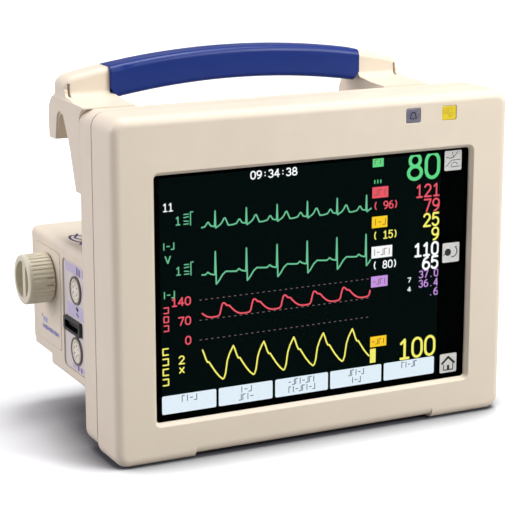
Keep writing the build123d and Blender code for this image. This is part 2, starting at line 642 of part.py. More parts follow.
def cuff_port():
    port = rod("x", CUFF_R, CUFF_Y, CUFF_Z, (82, 88.3)) + rod("x", 5.6, CUFF_Y, CUFF_Z, (88.3, 90.6))
    port += rod("x", 3.2, CUFF_Y, CUFF_Z, (90.6, 97)) + rod("x", 2.0, CUFF_Y, CUFF_Z, (76, 82))
    return port - rod("x", 1.2, CUFF_Y, CUFF_Z, (75, 98))


def speaker():
    case = rod("x", 12.5, GRILLE_Y, GRILLE_Z, (82.5, 85.4)) + rod("x", 8.0, GRILLE_Y, GRILLE_Z, (75.5, 82.5))
    return case - rod("x", 10.5, GRILLE_Y, GRILLE_Z, (83.8, 86))


# ---- rear and underside -------------------------------------------------------------------------
def rear_cover():
    cover = plate_xz(BLOCK_X, (BLOCK_REAR, REAR_FACE), (STEP_Z, BLOCK_Z[1]), 4.0)
    cover = fillet(cover.edges().group_by(Axis.Y)[-1], 3.0)
    inner_x = grow(BLOCK_X, -BLOCK_WALL - 0.2)
    inner_z = (STEP_Z + BLOCK_WALL + 0.2, BLOCK_Z[1] - BLOCK_WALL - 0.2)
    spigot = ring_xz(inner_x, (BLOCK_REAR - 2.5, BLOCK_REAR), inner_z, 1.6, 2.0)
    for x, z in LID_SCREWS:
        spigot -= rod("y", 4.6, x, z, (120, BLOCK_REAR))
        spigot -= block(sorted((x, math.copysign(130, x))), (120, BLOCK_REAR), (z - 2.6, z + 2.6))
    cover += spigot
    for index in range(LOUVRES):
        x = LOUVRE_X + index * LOUVRE_PITCH
        cover -= plate_xz((x - 1.6, x + 1.6), (120, 140), LOUVRE_Z, 1.5)
    for x, z in LID_SCREWS:
        cover -= rod("y", LOOSE_R, x, z, (120, 140)) + rod("y", HEAD_HOLE_R, x, z, (132.6, 140))
    return cover


def base_keel():
    keel = block(KEEL_X, KEEL_Y, KEEL_Z)
    keel = fillet(keel.edges().filter_by(Axis.Z).group_by(Axis.Y)[-1], 5.0)
    keel -= block(grow(KEEL_X, -KEEL_WALL), grow(KEEL_Y, -KEEL_WALL), grow(KEEL_Z, -KEEL_WALL))
    keel -= block((40, 50), (50, 112), (6, 27.4))
    for low, high in ((KEEL_Z[0], 3.7), (28.8, KEEL_Z[1])):
        keel += block((40.0, HINGE_X + HINGE_R), (HINGE_Y - HINGE_R, HINGE_Y + HINGE_R), (low, high))
    keel -= rod("z", PIN_R, HINGE_X, HINGE_Y, (2.7, KEEL_Z[1] + 1))
    for x, y in REAR_FEET:
        keel -= rod("z", FOOT_R + 0.1, x, y, (0, FOOT_HIGH))
    for x, y in BOLTS:
        keel += rod("z", 4.2, x, y, (KEEL_Z[0], 6.4))
        keel -= rod("z", BOLT_R, x, y, (0, 8))
    return keel


def rear_foot(x, y):
    foot = rod("z", FOOT_R, x, y, (0, FOOT_HIGH))
    return fillet(foot.edges().group_by(Axis.Z)[0], 0.8)


def battery_pack():
    pack = block(BATTERY_X, BATTERY_Y, BATTERY_Z)
    pack = fillet(pack.edges().filter_by(Axis.X), 3.0)
    for x, y in BOLTS:
        pack -= rod("z", 5.0, x, y, (0, 8))
    return pack


def battery_door():
    inner = KEEL_X[1] + DOOR_GAP
    door = block((inner, inner + DOOR_THICK), (48, HINGE_Y), (4.0, 28.5))
    door += rod("z", HINGE_R, HINGE_X, HINGE_Y, (4.0, 28.5))
    door += block((inner - 2.6, inner + 1), (50.8, 53.0), (11, 22))
    for step in range(4):
        y = 52 + 2.4 * step
        door -= block((inner + DOOR_THICK - 0.5, inner + 5), (y, y + 1.0), (9, 24))
    return door - rod("z", PIN_R + RUNNING, HINGE_X, HINGE_Y, (3, 30))


def battery_door_pin():
    return rod("z", PIN_R, HINGE_X, HINGE_Y, (2.7, KEEL_Z[1]))


# ---- inside -------------------------------------------------------------------------------------
def chassis():
    tray = block((-92, 78), (57, 124), (CHASSIS_TOP - 1.2, CHASSIS_TOP))
    tray += block((-92, 78), (57, 58.2), (CHASSIS_TOP, CHASSIS_TOP + 3.8))
    for x in (-80, 70):
        for y in (64, 96):
            tray += rod("z", 3.5, x, y, (BLOCK_Z[0] + BLOCK_WALL, CHASSIS_TOP - 1.2))
    return tray


def main_board():
    top = BOARD_Z[1]
    board = block((-90, 74), (53, 123), BOARD_Z)
    board += block((-26, 10), (55, 61.4), (top, top + 6.2))
    for x in (-70, 24, 46):
        board += block((x, x + 14), (58, 72), (top, top + 1.8))
    return board


def power_board():
    board = block((-8, 62), (63, 79), (60.0, 61.6))
    for x in (-4, 58):
        board += rod("z", 2.2, x, 76.5, (BOARD_Z[1], 60.0))
    board += block((54, 61), (64, 72), (61.6, 70))
    return board


def heat_sink():
    sink = block((0, 50), (64, 78), (61.6, 64.6))
    for index in range(9):
        x = 1 + index * 5.7
        sink += block((x, x + 1.4), (64, 78), (64.6, 78))
    return sink


def pump_motor():
    motor = rod("x", 11.0, PUMP_Y, PUMP_Z, (-94, -64)) + rod("x", 3.5, PUMP_Y, PUMP_Z, (-97, -94))
    return motor - rod("x", SHAFT_R + RUNNING, PUMP_Y, PUMP_Z, (-80, -60))


def pump_head():
    head = block((-64, -42), (PUMP_Y - 12, PUMP_Y + 12), (BOARD_Z[1], PUMP_Z + 12))
    head -= rod("x", 9.0, PUMP_Y, PUMP_Z, (-60, -46))
    head -= rod("x", SHAFT_R + RUNNING, PUMP_Y, PUMP_Z, (-66, -43))
    return head


def pump_shaft():
    """The motor shaft with the eccentric that works the diaphragm."""
    shaft = rod("x", SHAFT_R, PUMP_Y, PUMP_Z, (-79, -43.5))
    return shaft + rod("x", 5.5, PUMP_Y, PUMP_Z + 2.2, (-57, -49))


def valve_block():
    body = block((-42, -24), (79, 99), (BOARD_Z[1], 74))
    return body + rod("x", 1.6, CUFF_Y, CUFF_Z, (-24, -18))


def air_tube():
    return tube("x", 3.1, 2.0, CUFF_Y, CUFF_Z, (-23.5, 81.5))


os.makedirs("parts", exist_ok=True)
write("front_bezel", front_bezel())
write("window_gasket", ring_xz(grow(GLASS_X, 0.5), (FRONT_WALL, GLASS_Y[0]), grow(GLASS_Z, 0.5), 4.2, 3))
write("touch_glass", plate_xz(GLASS_X, GLASS_Y, GLASS_Z, 2.5))
write("lcd_frame", lcd_frame())
write("lcd_panel", block(LCD_X, LCD_Y, LCD_Z))
write("backlight_unit", block(LCD_X, BACKLIGHT_Y, LCD_Z))
write("display_bracket", display_bracket())
write("bracket_screws", *[screw_y(x, z, BRACKET_Y[1] + 2.2, 8) for x, z in BRACKET_SCREWS])
for lens, lens_span in LAMPS_X.items():
    write(lens, alarm_lens(lens_span))
write("alarm_led_board", alarm_led_board())
write("backlight_inverter", backlight_inverter())
write("ribbon_cable", ribbon_cable())
write("housing_gasket", ring_xz((-119, 119), (BEZEL_END, COVER_START), (4.0, 186), 1.5, 7))
write("display_rear_cover", display_rear_cover())
write("cover_screws", *[screw_y(x, z, SCREW_HEAD_Y + 2.2, 17) for x, z in COVER_SCREWS])
write("inner_screws", *[screw_y(x, z, COVER_END - WALL - 2.2, 51) for x, z in BODY_SCREWS + ARM_SCREWS])
write("handle_arm_left", handle_arm(ARM_LEFT_X, BAR_ENDS_X[0]))
write("handle_arm_right", handle_arm(ARM_RIGHT_X, BAR_ENDS_X[1]))
write("handle_grip", handle_grip())
write("handle_core_bar", handle_core_bar())
write("handle_screws", *[handle_screw(x) for x in HANDLE_SCREWS_X])
write("body_shell", body_shell())
write("connector_panel", connector_panel())
write("socket_rings", *[socket_ring(z) for z in SOCKETS_Z])
write("pressure_sockets", *[pressure_socket(z) for z in SOCKETS_Z])
write("oximeter_connector", oximeter_connector())
write("patient_input_board", patient_input_board())
write("knob_panel", knob_panel())
write("lock_knob", lock_knob())
write("knob_spindle", knob_spindle())
write("knob_bush", knob_bush())
write("lock_cam", lock_cam())
write("right_panel", right_panel())
write("rocker_bezel", rocker_bezel())
write("power_rocker", power_rocker())
write("switch_body", switch_body())
write("dc_power_inlet", dc_power_inlet())
write("ground_post", ground_post())
write("serial_port", serial_port())
write("cuff_port", cuff_port())
write("speaker", speaker())
write("rear_cover", rear_cover())
write("rear_cover_screws", *[screw_y(x, z, 134.6, 117, 2.9, 2.0) for x, z in LID_SCREWS])
write("base_keel", base_keel())
write("rear_feet", *[rear_foot(x, y) for x, y in REAR_FEET])
write("battery_pack", battery_pack())
write("battery_door", battery_door())
write("battery_door_pin", battery_door_pin())
write("chassis", chassis())
write("board_standoffs", *[rod("z", 2.6, x, y, (CHASSIS_TOP, BOARD_Z[0])) for x, y in STANDOFFS])
write("main_board", main_board())
write("power_board", power_board())
write("heat_sink", heat_sink())
write("pump_motor", pump_motor())
write("pump_head", pump_head())
write("pump_shaft", pump_shaft())
write("valve_block", valve_block())
write("air_tube", air_tube())
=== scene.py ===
import json
import math

import bmesh
import bpy
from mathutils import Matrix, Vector


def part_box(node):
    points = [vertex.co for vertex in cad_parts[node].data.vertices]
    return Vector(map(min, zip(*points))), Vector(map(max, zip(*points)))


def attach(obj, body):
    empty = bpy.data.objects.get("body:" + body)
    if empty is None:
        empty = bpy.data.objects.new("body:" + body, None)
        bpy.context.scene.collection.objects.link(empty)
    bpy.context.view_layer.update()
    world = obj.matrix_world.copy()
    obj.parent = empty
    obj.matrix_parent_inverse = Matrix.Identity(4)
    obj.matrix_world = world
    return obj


# A bedside patient monitor. Sizes below are millimetres in the case's own frame: X from the middle
# of the bezel, Y back from its front face, Z up from the table. at() turns them into the row frame.

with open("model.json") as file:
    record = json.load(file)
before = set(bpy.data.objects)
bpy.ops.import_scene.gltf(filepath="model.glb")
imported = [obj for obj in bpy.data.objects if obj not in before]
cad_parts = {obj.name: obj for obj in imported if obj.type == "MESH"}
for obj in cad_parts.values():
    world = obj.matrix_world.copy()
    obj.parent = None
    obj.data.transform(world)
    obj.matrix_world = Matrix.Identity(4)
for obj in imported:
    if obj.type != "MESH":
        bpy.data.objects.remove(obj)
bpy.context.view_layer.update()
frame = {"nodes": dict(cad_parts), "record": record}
NODES = frame["nodes"]
RECORD = frame["record"]
MM = 0.001

BEZEL_LOW, BEZEL_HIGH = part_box("front_bezel")
MIDDLE_X = (BEZEL_LOW.x + BEZEL_HIGH.x) / 2
FRONT_Y = BEZEL_LOW.y


def at(x, y, z):
    return Vector((MIDDLE_X + x * MM, FRONT_Y + y * MM, z * MM))


def case_box(node):
    """A node's lowest and highest corner, in the case's own millimetres."""
    corners = []
    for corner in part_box(node):
        corners.append(((corner.x - MIDDLE_X) / MM, (corner.y - FRONT_Y) / MM, corner.z / MM))
    return corners


# ---- materials ----------------------------------------------------------------------------------
def srgb(red, green, blue):
    """An 8-bit display colour as a linear one."""
    linear = []
    for value in (red, green, blue):
        share = value / 255
        linear.append(share / 12.92 if share <= 0.04045 else ((share + 0.055) / 1.055) ** 2.4)
    return (*linear, 1.0)


def scaled(colour, factor):
    return (*(min(channel * factor, 1.0) for channel in colour[:3]), 1.0)


RANGE_SOCKETS = ("From Min", "From Max", "To Min", "To Max")


class Recipe:
    """A material under construction, with short ways to add the usual nodes."""

    def __init__(self, name):
        self.material = bpy.data.materials.new(name)
        self.material.use_nodes = True
        self.tree = self.material.node_tree
        self.shader = self.tree.nodes["Principled BSDF"]
        self.place = self.node("ShaderNodeTexCoord").outputs["Object"]

    def node(self, kind):
        return self.tree.nodes.new(kind)

    def link(self, source, target):
        self.tree.links.new(source, target)

    def feed(self, name, source):
        """Lead a value or colour into one of the shader's own sockets."""
        self.link(source, self.shader.inputs[name])

    def stretched(self, scale):
        mapping = self.node("ShaderNodeMapping")
        mapping.inputs["Scale"].default_value = scale
        self.link(self.place, mapping.inputs["Vector"])
        return mapping.outputs["Vector"]

    def noise(self, scale, detail=3.0, vector=None, roughness=0.5):
        noise = self.node("ShaderNodeTexNoise")
        noise.inputs["Scale"].default_value = scale
        noise.inputs["Detail"].default_value = detail
        noise.inputs["Roughness"].default_value = roughness
        self.link(vector or self.place, noise.inputs["Vector"])
        return noise.outputs["Fac"]

    def spread(self, value, low, high, out_low, out_high):
        spread = self.node("ShaderNodeMapRange")
        for key, number in zip(RANGE_SOCKETS, (low, high, out_low, out_high)):
            spread.inputs[key].default_value = number
        self.link(value, spread.inputs["Value"])
        return spread.outputs["Result"]

    def mix(self, factor, first, second):
        mix = self.node("ShaderNodeMix")
        mix.data_type = "RGBA"
        self.link(factor, mix.inputs[0])
        for colour, socket in ((first, mix.inputs[6]), (second, mix.inputs[7])):
            if isinstance(colour, tuple):
                socket.default_value = colour
            else:
                self.link(colour, socket)
        return mix.outputs[2]

    def bump(self, height, strength, distance, edge=None):
        """Relief from a height; edge is the radius in metres that softens the mesh's own edges."""
        bump = self.node("ShaderNodeBump")
        bump.inputs["Strength"].default_value = strength
        bump.inputs["Distance"].default_value = distance
        self.link(height, bump.inputs["Height"])
        if edge:
            bevel = self.node("ShaderNodeBevel")
            bevel.samples = 6
            bevel.inputs["Radius"].default_value = edge
            self.link(bevel.outputs["Normal"], bump.inputs["Normal"])
        self.feed("Normal", bump.outputs["Normal"])

    def set(self, **values):
        for key, value in values.items():
            self.shader.inputs[key.replace("_", " ")].default_value = value


def worn_edges(recipe):
    """One on convex edges and nought elsewhere, broken up so that the wear isn't even."""
    edge = recipe.node("ShaderNodeNewGeometry").outputs["Pointiness"]
    bright = recipe.spread(edge, 0.53, 0.6, 0.0, 1.0)
    broken = recipe.spread(recipe.noise(90, 4), 0.4, 0.7, 0.15, 1.0)
    both = recipe.node("ShaderNodeMath")
    both.operation = "MULTIPLY"
    recipe.link(bright, both.inputs[0])
    recipe.link(broken, both.inputs[1])
    return both.outputs[0]


def moulded(name, colour, rough, grain=0.5, edge=0.5, coat=0.0, speckle=0.0, wear=0.12, sheen=0.5):
    """Moulded plastic: a spark-eroded grain, faint mottling, and paler handled edges."""
    recipe = Recipe(name)
    mottle = recipe.spread(recipe.noise(22, 4), 0.3, 0.7, 0.0, 1.0)
    base = recipe.mix(mottle, scaled(colour, 0.98), scaled(colour, 1.015))
    if speckle:
        dust = recipe.spread(recipe.noise(700, 2), 0.62, 0.72, 0.0, speckle)
        base = recipe.mix(dust, base, scaled(colour, 0.72))
    if wear:
        rubbed = recipe.spread(worn_edges(recipe), 0.0, 1.0, 0.0, wear)
        base = recipe.mix(rubbed, base, scaled(colour, 1.25))
    recipe.feed("Base Color", base)
    recipe.feed("Roughness", recipe.spread(recipe.noise(55, 3), 0.3, 0.7, rough - 0.05, rough + 0.06))
    recipe.bump(recipe.noise(1800, 2, roughness=0.6), 0.18 * grain, 0.00012, edge * MM if edge else None)
    recipe.set(Coat_Weight=coat, Coat_Roughness=0.22, Specular_IOR_Level=sheen)
    return recipe.material


def metal(name, colour, rough, stretch=(1, 1, 1), scratches=0.3):
    """Metal with fine drawn or turned marks along one way."""
    recipe = Recipe(name)
    marks = recipe.noise(900, 3, recipe.stretched(stretch))
    base = recipe.mix(recipe.spread(marks, 0.3, 0.7, 0.0, 1.0), scaled(colour, 0.82), scaled(colour, 1.08))
    recipe.feed("Base Color", base)
    smudge = recipe.noise(70, 4)
    recipe.feed("Roughness", recipe.spread(smudge, 0.3, 0.7, rough - 0.06, rough + 0.1))
    recipe.bump(marks, scratches, 0.00005, 0.15 * MM)
    recipe.set(Metallic=1.0)
    return recipe.material


def rubber(name, colour):
    recipe = Recipe(name)
    bloom = recipe.spread(recipe.noise(120, 5), 0.35, 0.75, 0.0, 1.0)
    recipe.feed("Base Color", recipe.mix(bloom, colour, scaled(colour, 1.9)))
    recipe.feed("Roughness", recipe.spread(recipe.noise(300, 3), 0.3, 0.7, 0.72, 0.9))
    recipe.bump(recipe.noise(2600, 2), 0.25, 0.00012, 0.3 * MM)
    return recipe.material


def circuit_board(name):
    """Green solder mask over copper tracks."""
    recipe = Recipe(name)
    tracks = recipe.node("ShaderNodeTexBrick")
    tracks.inputs["Scale"].default_value = 160
    tracks.inputs["Mortar Size"].default_value = 0.035
    tracks.inputs["Color1"].default_value = srgb(18, 84, 48)
    tracks.inputs["Color2"].default_value = srgb(14, 72, 42)
    tracks.inputs["Mortar"].default_value = srgb(46, 132, 76)
    recipe.link(recipe.place, tracks.inputs["Vector"])
    stain = recipe.spread(recipe.noise(60, 4), 0.4, 0.7, 0.0, 0.5)
    recipe.feed("Base Color", recipe.mix(stain, tracks.outputs["Color"], srgb(10, 60, 36)))
    recipe.feed("Roughness", recipe.spread(recipe.noise(90), 0.3, 0.7, 0.25, 0.4))
    recipe.bump(tracks.outputs["Fac"], 0.2, 0.00005)
    return recipe.material


def lens(name, colour, glow):
    """A tinted lamp lens, moulded with fine diffusing ribs."""
    recipe = Recipe(name)
    ribs = recipe.node("ShaderNodeTexWave")
    ribs.inputs["Scale"].default_value = 420
    ribs.bands_direction = "Z"
    recipe.link(recipe.place, ribs.inputs["Vector"])
    cloud = recipe.spread(recipe.noise(260, 3), 0.35, 0.7, 0.0, 1.0)
    recipe.feed("Base Color", recipe.mix(cloud, scaled(colour, 0.86), scaled(colour, 1.12)))
    recipe.feed("Roughness", recipe.spread(cloud, 0.0, 1.0, 0.22, 0.34))
    recipe.bump(ribs.outputs["Fac"], 0.25, 0.0001, 0.25 * MM)
    recipe.set(Emission_Color=colour, Emission_Strength=glow, Coat_Weight=0.4, Coat_Roughness=0.08)
    return recipe.material


def lit(name, colour, strength=1.0):
    """A part of the screen image, with the slight unevenness of a liquid crystal panel."""
    recipe = Recipe(name)
    cells = recipe.spread(recipe.noise(900, 2), 0.3, 0.7, 0.0, 1.0)
    shade = recipe.mix(cells, scaled(colour, 0.97), scaled(colour, 1.02))
    recipe.feed("Emission Color", shade)
    recipe.set(Base_Color=(0, 0, 0, 1), Roughness=0.7, Specular_IOR_Level=0.0, Emission_Strength=strength)
    return recipe.material


def front_glass(name):
    """Anti-reflective front glass, smudged a little by fingers."""
    recipe = Recipe(name)
    smears = recipe.spread(recipe.noise(26, 5), 0.5, 0.75, 0.0, 0.05)
    recipe.feed("Roughness", smears)
    recipe.set(Base_Color=(1, 1, 1, 1), Transmission_Weight=1.0, IOR=1.04)
    return recipe.material


def printed(name, colour, rough=0.55, sheen=0.5):
    """Screen-printed ink with a slightly open edge of colour."""
    recipe = Recipe(name)
    ink = recipe.spread(recipe.noise(1200, 3), 0.35, 0.7, 0.0, 1.0)
    recipe.feed("Base Color", recipe.mix(ink, scaled(colour, 0.9), scaled(colour, 1.08)))
    recipe.feed("Roughness", recipe.spread(ink, 0.0, 1.0, rough - 0.05, rough + 0.05))
    recipe.bump(recipe.noise(2000, 2), 0.1, 0.00005)
    recipe.set(Specular_IOR_Level=sheen)
    return recipe.material


CREAM = srgb(225, 212, 194)
MATERIALS = {
    "case": moulded("case", CREAM, 0.46, grain=0.6, edge=0.7),
    "sunk_panel": moulded("sunk_panel", srgb(214, 206, 204), 0.5, edge=0.4),
    "gasket": rubber("gasket", srgb(58, 50, 46)),
    "glass": front_glass("glass"),
    "steel": metal("steel", srgb(186, 188, 190), 0.34, (1, 8, 8)),
    "panel_black": printed("panel_black", srgb(10, 22, 24), 0.4),
    "backlight": moulded("backlight", srgb(228, 230, 230), 0.6, edge=None, wear=0),
    "aluminium": metal("aluminium", srgb(198, 200, 203), 0.38, (1, 10, 1)),
    "lens_grey": lens("lens_grey", srgb(112, 110, 128), 0.0),
    "lens_yellow": lens("lens_yellow", srgb(222, 198, 22), 0.06),
    "circuit_board": circuit_board("circuit_board"),
    "flat_cable": printed("flat_cable", srgb(206, 152, 70), 0.3),
    "grip_blue": moulded("grip_blue", srgb(11, 43, 121), 0.34, grain=0.2, edge=0.9, coat=0.06, wear=0,
                         sheen=0.24),
    "socket_ring": moulded("socket_ring", srgb(112, 100, 92), 0.35, edge=0.2),
    "socket_white": moulded("socket_white", srgb(240, 234, 222), 0.3, grain=0.2, edge=0.2, coat=0.3),
    "black_plastic": moulded("black_plastic", srgb(11, 11, 13), 0.34, grain=0.9, edge=0.3, wear=0.03),
    "knob": moulded("knob", srgb(222, 215, 192), 0.42, grain=0.5, edge=0.35, speckle=0.12, wear=0.3),
    "brass": metal("brass", srgb(214, 176, 98), 0.28, (1, 1, 1)),
    "feet_rubber": rubber("feet_rubber", srgb(34, 33, 33)),
    "door_plastic": moulded("door_plastic", scaled(CREAM, 0.94), 0.5, grain=0.8, edge=0.4),
    "motor": metal("motor", srgb(192, 192, 194), 0.3, (20, 1, 1)),
    "tube_clear": moulded("tube_clear", srgb(226, 226, 220), 0.35, grain=0.1, edge=None, coat=0.3, wear=0),
}

for subpart in RECORD["subparts"]:
    node = NODES[subpart["node"]]
    if not node.material_slots:
        node.data.materials.append(None)
    for slot in node.material_slots:
        slot.link = "OBJECT"
        slot.material = MATERIALS[subpart["material_slot"]]


# ---- flat graphics, built as thin closed prisms ---------------------------------------------------
class Sheet:
    """Thin flat shapes gathered into one piece, facing the front, left, right, back or up."""

    def __init__(self, depth, facing="front", thick=0.12):
        self.bm = bmesh.new()
        self.depth = depth
        self.facing = facing
        self.thick = thick

    def point(self, u, z, back):
        inward = self.thick if back else 0.0
        if self.facing == "front":
            return at(u, self.depth + inward, z)
        if self.facing == "left":
            return at(self.depth + inward, u, z)
        if self.facing == "right":
            return at(self.depth - inward, u, z)
        if self.facing == "up":
            return at(u, z, self.depth - inward)
        return at(-u, self.depth - inward, z)

    def polygon(self, outline):
        """A convex outline of (u, z) points, made into a closed prism."""
        front = [self.bm.verts.new(self.point(u, z, False)) for u, z in outline]
        back = [self.bm.verts.new(self.point(u, z, True)) for u, z in outline]
        count = len(outline)
        self.bm.faces.new(front)
        self.bm.faces.new(back[::-1])
        for i in range(count):
            j = (i + 1) % count
            self.bm.faces.new((front[j], front[i], back[i], back[j]))

    def disc(self, u, z, radius, sides=14):
        rim = []
        for index in range(sides):
            angle = 2 * math.pi / sides * index
            rim.append((u + radius * math.cos(angle), z + radius * math.sin(angle)))
        self.polygon(rim)

    def bar(self, u0, z0, u1, z1):
        self.polygon([(u0, z0), (u1, z0), (u1, z1), (u0, z1)])

    def tile(self, u0, z0, u1, z1, radius):
        """A rectangle with rounded corners."""
        outline = []
        for cu, cz, start in ((u1, z1, 0), (u0, z1, 90), (u0, z0, 180), (u1, z0, 270)):
            inner_u = cu - math.copysign(radius, cu - (u0 + u1) / 2)
            inner_z = cz - math.copysign(radius, cz - (z0 + z1) / 2)
            for step in range(5):
                angle = math.radians(start + 22.5 * step)
                outline.append((inner_u + radius * math.cos(angle), inner_z + radius * math.sin(angle)))
        self.polygon(outline)

    def stroke(self, path, width, closed=False):
        """A line of even width with round joints."""
        half = width / 2
        points = list(path) + ([path[0]] if closed else [])
        for (u0, z0), (u1, z1) in zip(points, points[1:]):
            length = math.hypot(u1 - u0, z1 - z0)
            if length < 1e-6:
                continue
            nu, nz = (z0 - z1) / length * half, (u1 - u0) / length * half
            self.polygon([(u0 + nu, z0 + nz), (u0 - nu, z0 - nz), (u1 - nu, z1 - nz), (u1 + nu, z1 + nz)])
        for u, z in points:
            self.disc(u, z, half, 8)

    def finish(self, name, material, body="root"):
        bmesh.ops.recalc_face_normals(self.bm, faces=self.bm.faces)
        mesh = bpy.data.meshes.new(name)
        self.bm.to_mesh(mesh)
        self.bm.free()
        mesh.materials.append(material)
        piece = bpy.data.objects.new(name, mesh)
        bpy.context.scene.collection.objects.link(piece)
        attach(piece, body)
        return piece


def arc(cu, cz, ru, rz, start, end, steps=10):
    """Points along an elliptical arc, from one angle to another in degrees."""
    path = []
    for step in range(steps + 1):
        angle = math.radians(start + (end - start) * step / steps)
        path.append((cu + ru * math.cos(angle), cz + rz * math.sin(angle)))
    return path


# Numerals as strokes in a unit cell, one wide and one tall.
DIGITS = {
    "0": [arc(0.5, 0.66, 0.36, 0.34, 0, 180, 9) + arc(0.5, 0.34, 0.36, 0.34, 180, 360, 9) + [(0.86, 0.66)]],
    "1": [[(0.24, 0.8), (0.52, 1.0), (0.52, 0.0)], [(0.22, 0.0), (0.82, 0.0)]],
    "2": [arc(0.48, 0.72, 0.34, 0.28, 165, -30, 10) + [(0.14, 0.0), (0.86, 0.0)]],
    "3": [arc(0.46, 0.75, 0.32, 0.25, 150, -80, 9) + arc(0.46, 0.26, 0.38, 0.26, 80, -150, 10)],
    "4": [[(0.66, 0.0), (0.66, 1.0), (0.1, 0.28), (0.9, 0.28)]],
    "5": [[(0.8, 1.0), (0.24, 1.0), (0.18, 0.56)] + arc(0.47, 0.33, 0.37, 0.33, 125, -150, 12)],
    "6": [arc(0.74, 0.4, 0.6, 0.6, 95, 180, 6) + arc(0.5, 0.3, 0.36, 0.3, 180, 540, 18)],
    "7": [[(0.12, 1.0), (0.86, 1.0), (0.38, 0.0)]],
    "8": [arc(0.5, 0.76, 0.29, 0.24, -90, 270, 16), arc(0.5, 0.26, 0.37, 0.26, 90, 450, 18)],
    "9": [arc(0.26, 0.6, 0.6, 0.6, -85, 0, 6) + arc(0.5, 0.7, 0.36, 0.3, 0, 360, 18)],
    ":": [[(0.5, 0.3), (0.5, 0.31)], [(0.5, 0.72), (0.5, 0.73)]],
    ".": [[(0.5, 0.02), (0.5, 0.03)]],
    "(": [arc(1.0, 0.5, 0.5, 0.62, 130, 230, 8)],
    ")": [arc(0.0, 0.5, 0.5, 0.62, 50, -50, 8)],
    "x": [[(0.2, 0.05), (0.8, 0.65)], [(0.2, 0.65), (0.8, 0.05)]],
    " ": [],
}


def write_number(sheet, text, right, low, high, pitch, width):
    """Set a number, given its right edge, its foot and its top."""
    height = high - low
    for index, character in enumerate(reversed(text)):
        left = right - (index + 1) * pitch
        for path in DIGITS[character]:
            sheet.stroke([(left + pitch * u, low + height * v) for u, v in path], width)


def mark_row(sheet, left, right, low, high, marks, width, seed):
    """A row of plain upright and slanted ticks that stands where a printed word would be."""
    step = (right - left) / marks
    for index in range(marks):
        middle = left + step * (index + 0.5)
        reach = step * 0.3
        kind = (index * 7 + seed * 3) % 4
        if kind == 0:
            path = [(middle - reach, low), (middle - reach, high), (middle + reach, high)]
        elif kind == 1:
            path = [(middle - reach, low), (middle + reach, low), (middle + reach, high)]
        elif kind == 2:
            path = [(middle - reach, (low + high) / 2), (middle + reach, (low + high) / 2)]
        else:
            path = [(middle, low), (middle, high)]
        sheet.stroke(path, width)


# ---- the screen image -----------------------------------------------------------------------------
GLASS_BACK = case_box("touch_glass")[1][1]
WINDOW_X = (-96.0, 96.0)
WINDOW_Z = (22.1, 155.8)
ACTIVE_X = (-91.5, 79.4)
ACTIVE_Z = (25.1, 153.3)
IMAGE_Y = GLASS_BACK + 0.12     # the image lies close behind the glass
GROUND_Y = IMAGE_Y + 0.3        # its dark ground is deeper
TICK_Y = IMAGE_Y - 0.1          # and the ticks on its keys and tags stand in front of them
PRINT_Y = GLASS_BACK + 0.02     # the black border is printed on the glass
TILE_Y = PRINT_Y - 0.06
MARK_Y = PRINT_Y - 0.1
BORDER_LAP = 3.0                # how far the border runs on behind the bezel

GREEN = srgb(108, 196, 150)
BRIGHT_GREEN = srgb(98, 216, 136)
RED = srgb(234, 88, 104)
YELLOW = srgb(246, 240, 110)
AMBER = srgb(252, 206, 40)
WHITE = srgb(250, 252, 255)
PURPLE = srgb(198, 150, 226)
KEY_BLUE = srgb(226, 240, 250)
INK = srgb(52, 66, 82)
DASH = srgb(158, 128, 130)

LIT = {
    "green": lit("lit_green", GREEN),
    "bright_green": lit("lit_bright_green", BRIGHT_GREEN),
    "red": lit("lit_red", RED),
    "yellow": lit("lit_yellow", YELLOW),
    "amber": lit("lit_amber", AMBER),
    "white": lit("lit_white", WHITE),
    "purple": lit("lit_purple", PURPLE),
    "key": lit("lit_key", KEY_BLUE),
    "ink": lit("lit_ink", INK),
    "dash": lit("lit_dash", DASH, 0.7),
    "night": lit("lit_night", srgb(4, 13, 12)),
}
BORDER = printed("border_print", srgb(1, 3, 3), 0.6, 0.0)
ICON_GREY = printed("icon_grey", srgb(222, 222, 220), 0.5)
ICON_INK = printed("icon_ink", srgb(20, 20, 22), 0.5)
LAVENDER_INK = printed("label_lavender", srgb(196, 186, 214), 0.5)
VIOLET_INK = printed("label_violet", srgb(96, 82, 140), 0.5)
SLATE_INK = printed("label_slate", srgb(92, 100, 140), 0.5)


def screen_ground():
    """The dark image area and the black border printed behind the glass around it."""
    image = Sheet(GROUND_Y, thick=0.1)
    image.bar(ACTIVE_X[0], ACTIVE_Z[0], ACTIVE_X[1], ACTIVE_Z[1])
    image.finish("screen_image_ground", LIT["night"])
    border = Sheet(PRINT_Y, thick=0.08)
    low_x, high_x = WINDOW_X[0] - BORDER_LAP, WINDOW_X[1] + BORDER_LAP
    low_z, high_z = WINDOW_Z[0] - BORDER_LAP, WINDOW_Z[1] + BORDER_LAP
    border.bar(low_x, low_z, high_x, ACTIVE_Z[0])
    border.bar(low_x, ACTIVE_Z[1], high_x, high_z)
    border.bar(low_x, ACTIVE_Z[0], ACTIVE_X[0], ACTIVE_Z[1])
    border.bar(ACTIVE_X[1], ACTIVE_Z[0], high_x, ACTIVE_Z[1])
    border.finish("screen_border_print", BORDER)


TRACE_X = (-67.4, 35.2)
BEAT = 18.35            # distance between two beats
FIRST_BEAT = -59.6


def beats():
    count = int((TRACE_X[1] - FIRST_BEAT) / BEAT) + 2
    return [FIRST_BEAT + BEAT * index for index in range(-1, count)]


